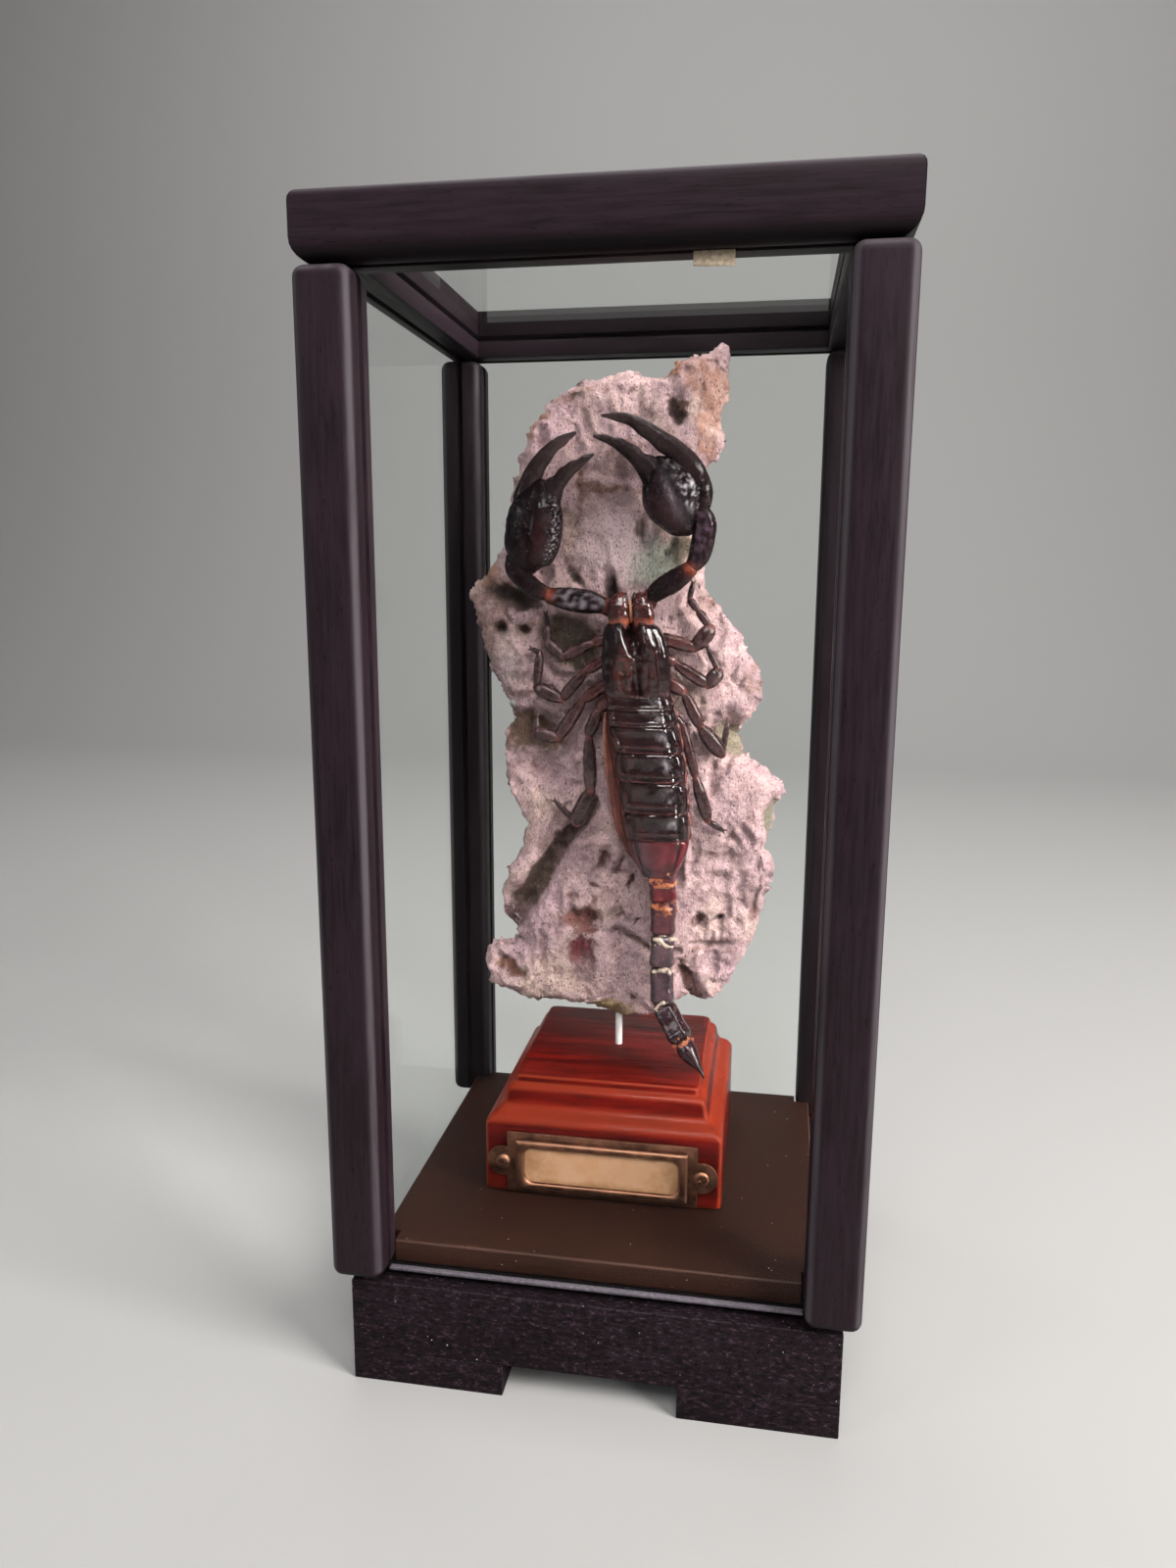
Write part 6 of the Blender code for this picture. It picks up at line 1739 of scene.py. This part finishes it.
def leg_piece(skin, start, end, half, first, last, red):
    """One piece of a leg: narrow and pink at its joints, fullest past its middle, keeled in front."""
    start, end = Vector(start), Vector(end)
    run = (end - start).normalized() * half * 0.35
    start, end = start - run, end + run
    stations = [(*start.lerp(end, share), half * full) for share, full in (FOOT_SHAPE if last else LEG_SHAPE)]

    def tint(share, c, s):
        joint = max(bump_at(share, 0.0, 0.09), bump_at(share, 1.0, 0.08) * (not last))
        plain = mix(LEG_MAUVE, LEG_RED, red)
        plain = mix(plain, LEG_KEEL, 0.45 * bump_at(c, 0.45, 0.18) if s < 0 else 0.0)
        return mix(plain, JOINT_PINK, 0.7 * joint)

    def relief(share, c, s, point):
        keels = half * 0.13 * bump_at(abs(c), 0.5, 0.16) if s < 0 else 0.0
        return keels * arched(share, 0.02) + noise.noise(point / 1.1) * 0.05 * half

    limb(skin, "leg", stations, tint, relief, 0.0 if first else 1.0)


def make_legs():
    """The eight legs with their root joints and the two hooks of each foot."""
    skin = Skin()
    for number, (joints, widths) in enumerate(LEGS):
        for k, (start, end, width) in enumerate(zip(joints, joints[1:], widths)):
            red = (0.8 if number < 4 else 0.4) * (k == 0) + 0.15 * (k == 1)
            leg_piece(skin, start, end, width, k == 0, k == len(widths) - 1, red)
        tip, before = Vector(joints[-1]), Vector(joints[-2])
        run = (tip - before).normalized()
        side = Vector((0, 1, 0)).cross(run)
        for turn in (-1, 1):
            hook = []
            for k in range(3):
                spread = side * turn * (0.15 + 0.28 * k)
                place = tip + run * (0.1 + 0.5 * k) + spread + Vector((0, 0.1 * k, 0))
                hook.append((*place, 0.34 - 0.14 * k))
            limb(skin, "leg hook", hook, LEG_HOOK)
        x, y, z = joints[0]
        root = ((x * 0.75 + 0.6, y - 0.3, z - 0.5, 1.5), (x, y, z, 1.9), (x * 1.15, y, z, 1.3))
        limb(skin, "leg root", root, LEG_ROOT)
    return skin


def make_skins():
    """The dried flap on the left and the soft skin along the right of the plates."""
    skin = Skin()

    def streaks(share, c, s):
        line = 0.5 + 0.5 * math.sin(c * 19 + math.sin(share * 7) * 1.5)
        pale = 0.9 * bump_at(c, 0.92, 0.16) + 0.4 * bump_at(c, -0.95, 0.1)
        return mix(mix(FLAP_DARK, FLAP_RED, line), FLAP_EDGE, pale)

    def folds(share, c, s, point):
        return 0.22 * math.sin(c * 7 + share * 4) + noise.noise(point / 1.5) * 0.2

    def side_tint(share, c, s):
        return mix(SIDE_DARK, SIDE_RED, 0.5 + 0.5 * math.sin(share * 45))

    def side_folds(share, c, s, point):
        return 0.22 * math.sin(share * 60) + noise.noise(point / 1.0) * 0.12

    limb(skin, "flap", [(x, 0.4, z, w) for x, z, w in FLAP], streaks, folds)
    edge = [(x + w * 0.93, -0.1, z, 0.85 if 124 < z < 166 else 0.4) for x, z, w, _ in BACK_PLATES[:-1]]
    limb(skin, "side skin", edge, side_tint, side_folds)
    return skin


# Sleeves of torn skin at the tail's joints: number of the joint, kind, reach before and after it, half width
BANDS = (
    (0, "orange", 0.8, 3.9, 3.55), (1, "orange", 0.4, 3, 3.42), (2, "cream", 0.4, 2.6, 3.22),
    (3, "cream", 0.3, 2.4, 3.08), (4, "cream", 0.6, 1.5, 2.85), (5, "orange", 0.8, 1.6, 2.6),
)
BAND_COLOURS = {
    "orange": ((0.055, 0.01, 0.009), (0.3, 0.095, 0.04)),
    "cream": ((0.045, 0.02, 0.022), (0.42, 0.34, 0.27)),
}


def joint_bands():
    """Torn skin at the tail's joints: uneven sleeves, and how thickly crumbs lie on each spot of them."""
    bands = {kind: Skin() for kind in BAND_COLOURS}
    for joint, kind, above, below, half in BANDS:
        here = Vector(TAIL[joint][:3])
        before, after = Vector(TAIL[max(joint - 1, 0)][:3]), Vector(TAIL[min(joint + 1, len(TAIL) - 1)][:3])
        run = (after - here if joint < len(TAIL) - 1 else here - before).normalized()
        start, end = here - run * above, here + run * below
        stations = [(*start.lerp(end, share), half * full)
                    for share, full in ((0.0, 0.86), (0.35, 0.97), (0.7, 1.0), (1.0, 0.97))]

        def torn(share, c, s, joint=joint):
            return cloud(c * 1.5 + joint * 3, s * 1.5, share * 2.4)

        def tint(share, c, s, kind=kind, torn=torn):
            return mix(*BAND_COLOURS[kind], 0.35 + 2.2 * torn(share, c, s))

        def relief(share, c, s, point, torn=torn):
            return 1.1 * torn(share, c, s) + noise.noise(point / 0.7) * 0.25 - 0.1

        def crumbly(share, c, s, torn=torn):
            return max(torn(share, c, s) * 3.0 + 0.15, 0.0)

        limb(bands[kind], "torn skin", stations, tint, relief, 1.0, crumbly)
    return bands


# Crumbs and beads for each square metre of a spot that is full of them
CRUMB_DENSITY = 2.6e6
# Each piece of shell: its name, its finish, what makes it, and the numbers that shell() gives the finish
SHELL_PIECES = (
    ("carapace", "shell of the head", make_carapace, (0.06, 0.18, 0.85, 0.55, 0.008, 0.015, 0.14, 0.1)),
    ("back", "shell of the back", make_back, (0.05, 0.13, 0.95, 0.6, 0.001, 0.0, 0.1, 0.05)),
    ("tail", "shell of the tail", make_tail, (0.12, 0.3, 0.8, 0.6, 0.02, 0.04, 0.18, 0.25)),
    ("fangs", "shell of the fangs", make_fangs, (0.12, 0.3, 0.9, 0.5, 0.04, 0.05)),
    ("legs", "shell of the legs", make_legs, (0.2, 0.4, 0.5, 0.4, 0.03, 0.05)),
)


class SCORPION_OT_scorpion(bpy.types.Operator):
    """Make the scorpion's head shield, back plates, tail, fangs and legs"""

    bl_idname = "scorpion.body"
    bl_label = "Scorpion Body"

    def execute(self, context):
        for part, finish, make, numbers in SHELL_PIECES:
            name = f"scorpion_{part}"
            link_piece(name, make().mesh(name), shell(finish, *numbers), "shell", "scorpion")
        return {"FINISHED"}


class SCORPION_OT_claws(bpy.types.Operator):
    """Make the scorpion's arms and granular claws"""

    bl_idname = "scorpion.claws"
    bl_label = "Scorpion Claws"

    def execute(self, context):
        material = shell("granular shell of the claws", 0.14, 0.3, 0.22, 0.55, 0.09, 0.04, 0.09, 0.06)
        mesh = make_arms(context.scene.scorpion_body.granules).mesh("scorpion_claws")
        glinting = shell("glinting beads of the claws", 0.05, 0.16, 1.0, 0.55, 0.02, 0.0, 0.6)
        beads = crumb_tree("claw beads", glinting, 0.22 * MM, CRUMB_DENSITY, 0.9, "zone")
        grown = beads.grow("claw beads", mesh, Seed=17)
        link_piece("scorpion_claws", mesh, material, "shell", "scorpion")
        link_piece("scorpion_claw_beads", grown, glinting, "shell", "scorpion")
        return {"FINISHED"}


class SCORPION_OT_soft_skin(bpy.types.Operator):
    """Make the dried skin beside the plates and the crumbling skin at the tail's joints"""

    bl_idname = "scorpion.soft_skin"
    bl_label = "Scorpion Skin"

    def execute(self, context):
        material = shell("dried skin", 0.34, 0.6, 0.15, 0.7, 0.02, 0.12)
        link_piece("scorpion_skin", make_skins().mesh("scorpion_skin"), material, "shell", "scorpion")
        finishes = {"orange": flaky("orange dried crumbs", (0.44, 0.19, 0.085), (0.2, 0.045, 0.025), 0.35),
                    "cream": flaky("cream dried crumbs", (0.6, 0.5, 0.42), (0.3, 0.21, 0.17), 0.4)}
        torn_skin = shell("torn skin", 0.2, 0.45, 0.5, 0.5, 0.03, 0.08)
        for kind, band in joint_bands().items():
            host = band.mesh(f"{kind} joints")
            crumbs = crumb_tree(f"{kind} crumbs", finishes[kind], 0.27 * MM, CRUMB_DENSITY, 0.9, "zone")
            grown = crumbs.grow(f"{kind}_crumbs", host, Seed=11)
            link_piece(f"scorpion_{kind}_joints", host, torn_skin, "shell", "scorpion")
            link_piece(f"scorpion_{kind}_crumbs", grown, finishes[kind], "shell", "scorpion")
        return {"FINISHED"}


class SCORPION_OT_bristles(bpy.types.Operator):
    """Grow fine bristles on the claws, the tail and the legs"""

    bl_idname = "scorpion.bristles"
    bl_label = "Scorpion Bristles"

    def execute(self, context):
        settings = context.scene.scorpion_body
        material = flaky("bristles", (0.1, 0.05, 0.035), (0.03, 0.014, 0.01), 0.5)
        tree = bristle_tree(material, settings.bristle_length, settings.bristle_density)
        for part, seed, length in (("claws", 21, 1.0), ("tail", 22, 0.8), ("legs", 23, 0.6)):
            host = bpy.data.objects[f"scorpion_{part}"].data
            grown = tree.grow(f"bristles {part}", host, Seed=seed, Length=settings.bristle_length * length)
            link_piece(f"scorpion_{part}_bristles", grown, material, "shell", "scorpion")
        return {"FINISHED"}


class SCORPION_OT_dust(bpy.types.Operator):
    """Strew a few specks of dust over the wood and put a scrap of wood under the front rail"""

    bl_idname = "scorpion.dust"
    bl_label = "Dust and Scraps"

    def execute(self, context):
        settings = context.scene.scorpion_case
        pale = flaky("pale dust", (0.62, 0.6, 0.6), (0.4, 0.36, 0.36), 0.8)
        tree = crumb_tree("dust specks", pale, 0.16 * MM, settings.dust, 0.35)
        for number, part in enumerate(("plinth_timber", "floor_board_planed")):
            host = bpy.data.objects[part].data
            masked = host.copy()
            write_values(masked, "mask", [1.0] * len(masked.vertices))
            grown = tree.grow(f"dust {part}", masked, Seed=31 + number)
            link_piece("dust_on_" + part, grown, pale, "black_wood")
        scrap = flaky("pale scrap of wood", (0.62, 0.5, 0.37), (0.42, 0.31, 0.22), 0.8)
        chip = rounded_box(Vector((19.5, -49.9, 258.6)) * MM, Vector((27.8, -49.3, 261.4)) * MM, 0.15 * MM, 2)
        for vert in chip.verts:
            vert.co.z += noise.noise(vert.co / (2.1 * MM)) * 0.6 * MM
        link_piece("scrap_under_rail", mesh_from(chip, "scrap"), scrap, "brown_wood")
        return {"FINISHED"}


# Stage
CAMERA_PLACE = (0.03769, -0.282, 0.1966)
CAMERA_YAW = 0.166336654495725
CAMERA_PITCH = 0.1837254488712024
CAMERA_ROLL = 0.004524004817083568
SENSOR = 36.0
CAMERA_LENS = 1109.6 * SENSOR / 1600
# Floor and backdrop: half width, where the curve up to the backdrop starts, its radius and its steps
FLOOR_REACH = 3.0
BACKDROP_START = 0.9
BACKDROP_RADIUS = 0.7
BACKDROP_STEPS = 16
# Lamps: name, place, aim, width and height, the setting with the power, colour
CASE_MIDDLE = (0, 0, 0.14)
LAMPS = (
    ("key lamp", (0.78, -0.42, 0.6), CASE_MIDDLE, (0.42, 0.62), "key_power", (1.0, 0.97, 0.95)),
    ("front lamp", (0.1, -0.7, 0.95), CASE_MIDDLE, (0.45, 0.35), "front_power", (1.0, 0.98, 0.97)),
    ("fill lamp", (-0.8, -0.7, 0.5), CASE_MIDDLE, (0.4, 0.5), "fill_power", (0.92, 0.95, 1.0)),
    ("top lamp", (-0.05, 0.25, 0.95), CASE_MIDDLE, (0.6, 0.5), "fill_power", (1.0, 1.0, 1.0)),
    ("backdrop lamp", (0.0, 0.55, 1.3), (0, 1.5, 0.45), (1.6, 0.4), "backdrop_power", (1.0, 1.0, 1.0)),
)
SKY_COLOUR = (0.86, 0.88, 0.92, 1.0)
SKY_STRENGTH = 0.12


def lamp(name, place, aim, size, power, colour):
    data = bpy.data.lights.new(name, "AREA")
    data.shape = "RECTANGLE"
    data.size, data.size_y = size
    data.energy = power
    data.color = colour
    fitting = bpy.data.objects.new(name, data)
    fitting.location = place
    fitting.rotation_euler = (Vector(aim) - Vector(place)).to_track_quat("-Z", "Y").to_euler()
    bpy.context.scene.collection.objects.link(fitting)


class SCORPION_OT_stage(bpy.types.Operator):
    """Set the pale floor, the soft lamps and the camera"""

    bl_idname = "scorpion.stage"
    bl_label = "Stage"

    def execute(self, context):
        settings = context.scene.scorpion_stage
        profile = [(-FLOOR_REACH, 0.0), (BACKDROP_START, 0.0)]
        for i in range(1, BACKDROP_STEPS + 1):
            angle = i / BACKDROP_STEPS * math.pi / 2
            profile.append((BACKDROP_START + BACKDROP_RADIUS * math.sin(angle),
                            BACKDROP_RADIUS * (1 - math.cos(angle))))
        profile.append((BACKDROP_START + BACKDROP_RADIUS, FLOOR_REACH))
        bm = bmesh.new()
        left, right = ([bm.verts.new((x, y, z)) for y, z in profile] for x in (-FLOOR_REACH, FLOOR_REACH))
        for k in range(len(profile) - 1):
            bm.faces.new((left[k], right[k], right[k + 1], left[k + 1]))
        mesh = bpy.data.meshes.new("pale floor")
        bm.to_mesh(mesh)
        bm.free()
        mesh.shade_smooth()
        paint = Paint("pale floor", Base_Color=settings.floor, Roughness=0.75, Specular_IOR_Level=0.2)
        mesh.materials.append(paint.material)
        floor = bpy.data.objects.new("pale_floor", mesh)
        context.scene.collection.objects.link(floor)

        for name, place, aim, size, power, colour in LAMPS:
            lamp(name, place, aim, size, getattr(settings, power), colour)
        world = bpy.data.worlds.new("soft studio")
        world.use_nodes = True
        sky = world.node_tree.nodes["Background"]
        sky.inputs["Color"].default_value = SKY_COLOUR
        sky.inputs["Strength"].default_value = SKY_STRENGTH
        context.scene.world = world

        level = math.cos(CAMERA_PITCH)
        ahead = Vector((-math.sin(CAMERA_YAW) * level, math.cos(CAMERA_YAW) * level, -math.sin(CAMERA_PITCH)))
        data = bpy.data.cameras.new("photo view")
        data.sensor_width = SENSOR
        data.sensor_fit = "AUTO"
        data.lens = CAMERA_LENS
        data.clip_start = 0.01
        camera = bpy.data.objects.new("photo view", data)
        camera.location = CAMERA_PLACE
        turn = ahead.to_track_quat("-Z", "Y").to_matrix() @ Matrix.Rotation(CAMERA_ROLL, 3, "Z")
        camera.rotation_euler = turn.to_euler()
        context.scene.collection.objects.link(camera)
        context.scene.camera = camera
        context.scene.view_settings.view_transform = "Standard"
        return {"FINISHED"}


OPERATORS = (
    SCORPION_OT_case_base, SCORPION_OT_case_cover, SCORPION_OT_glass, SCORPION_OT_stand, SCORPION_OT_label,
    SCORPION_OT_bark, SCORPION_OT_scorpion, SCORPION_OT_claws, SCORPION_OT_soft_skin, SCORPION_OT_bristles,
    SCORPION_OT_dust, SCORPION_OT_stage,
)
SETTINGS = {
    "scorpion_case": CaseSettings, "scorpion_stand": StandSettings, "scorpion_bark": BarkSettings,
    "scorpion_body": ScorpionSettings, "scorpion_stage": StageSettings,
}


class SCORPION_PT_specimen(bpy.types.Panel):
    """Lists the pieces of the specimen and its case"""

    bl_idname = "SCORPION_PT_specimen"
    bl_label = "Scorpion Specimen"
    bl_space_type = "VIEW_3D"
    bl_region_type = "UI"
    bl_category = "Specimen"

    def draw(self, context):
        for operator in OPERATORS:
            self.layout.operator(operator.bl_idname)
        for name, group in SETTINGS.items():
            for key in group.__annotations__:
                self.layout.prop(getattr(context.scene, name), key)


CLASSES = (*SETTINGS.values(), *OPERATORS, SCORPION_PT_specimen)


def register():
    for item in CLASSES:
        bpy.utils.register_class(item)
    for name, group in SETTINGS.items():
        setattr(bpy.types.Scene, name, bpy.props.PointerProperty(type=group))


def unregister():
    for name in SETTINGS:
        delattr(bpy.types.Scene, name)
    for item in reversed(CLASSES):
        bpy.utils.unregister_class(item)


def main():
    register()
    for operator in OPERATORS:
        category, name = operator.bl_idname.split(".")
        getattr(getattr(bpy.ops, category), name)()


if __name__ == "__main__":
    main()
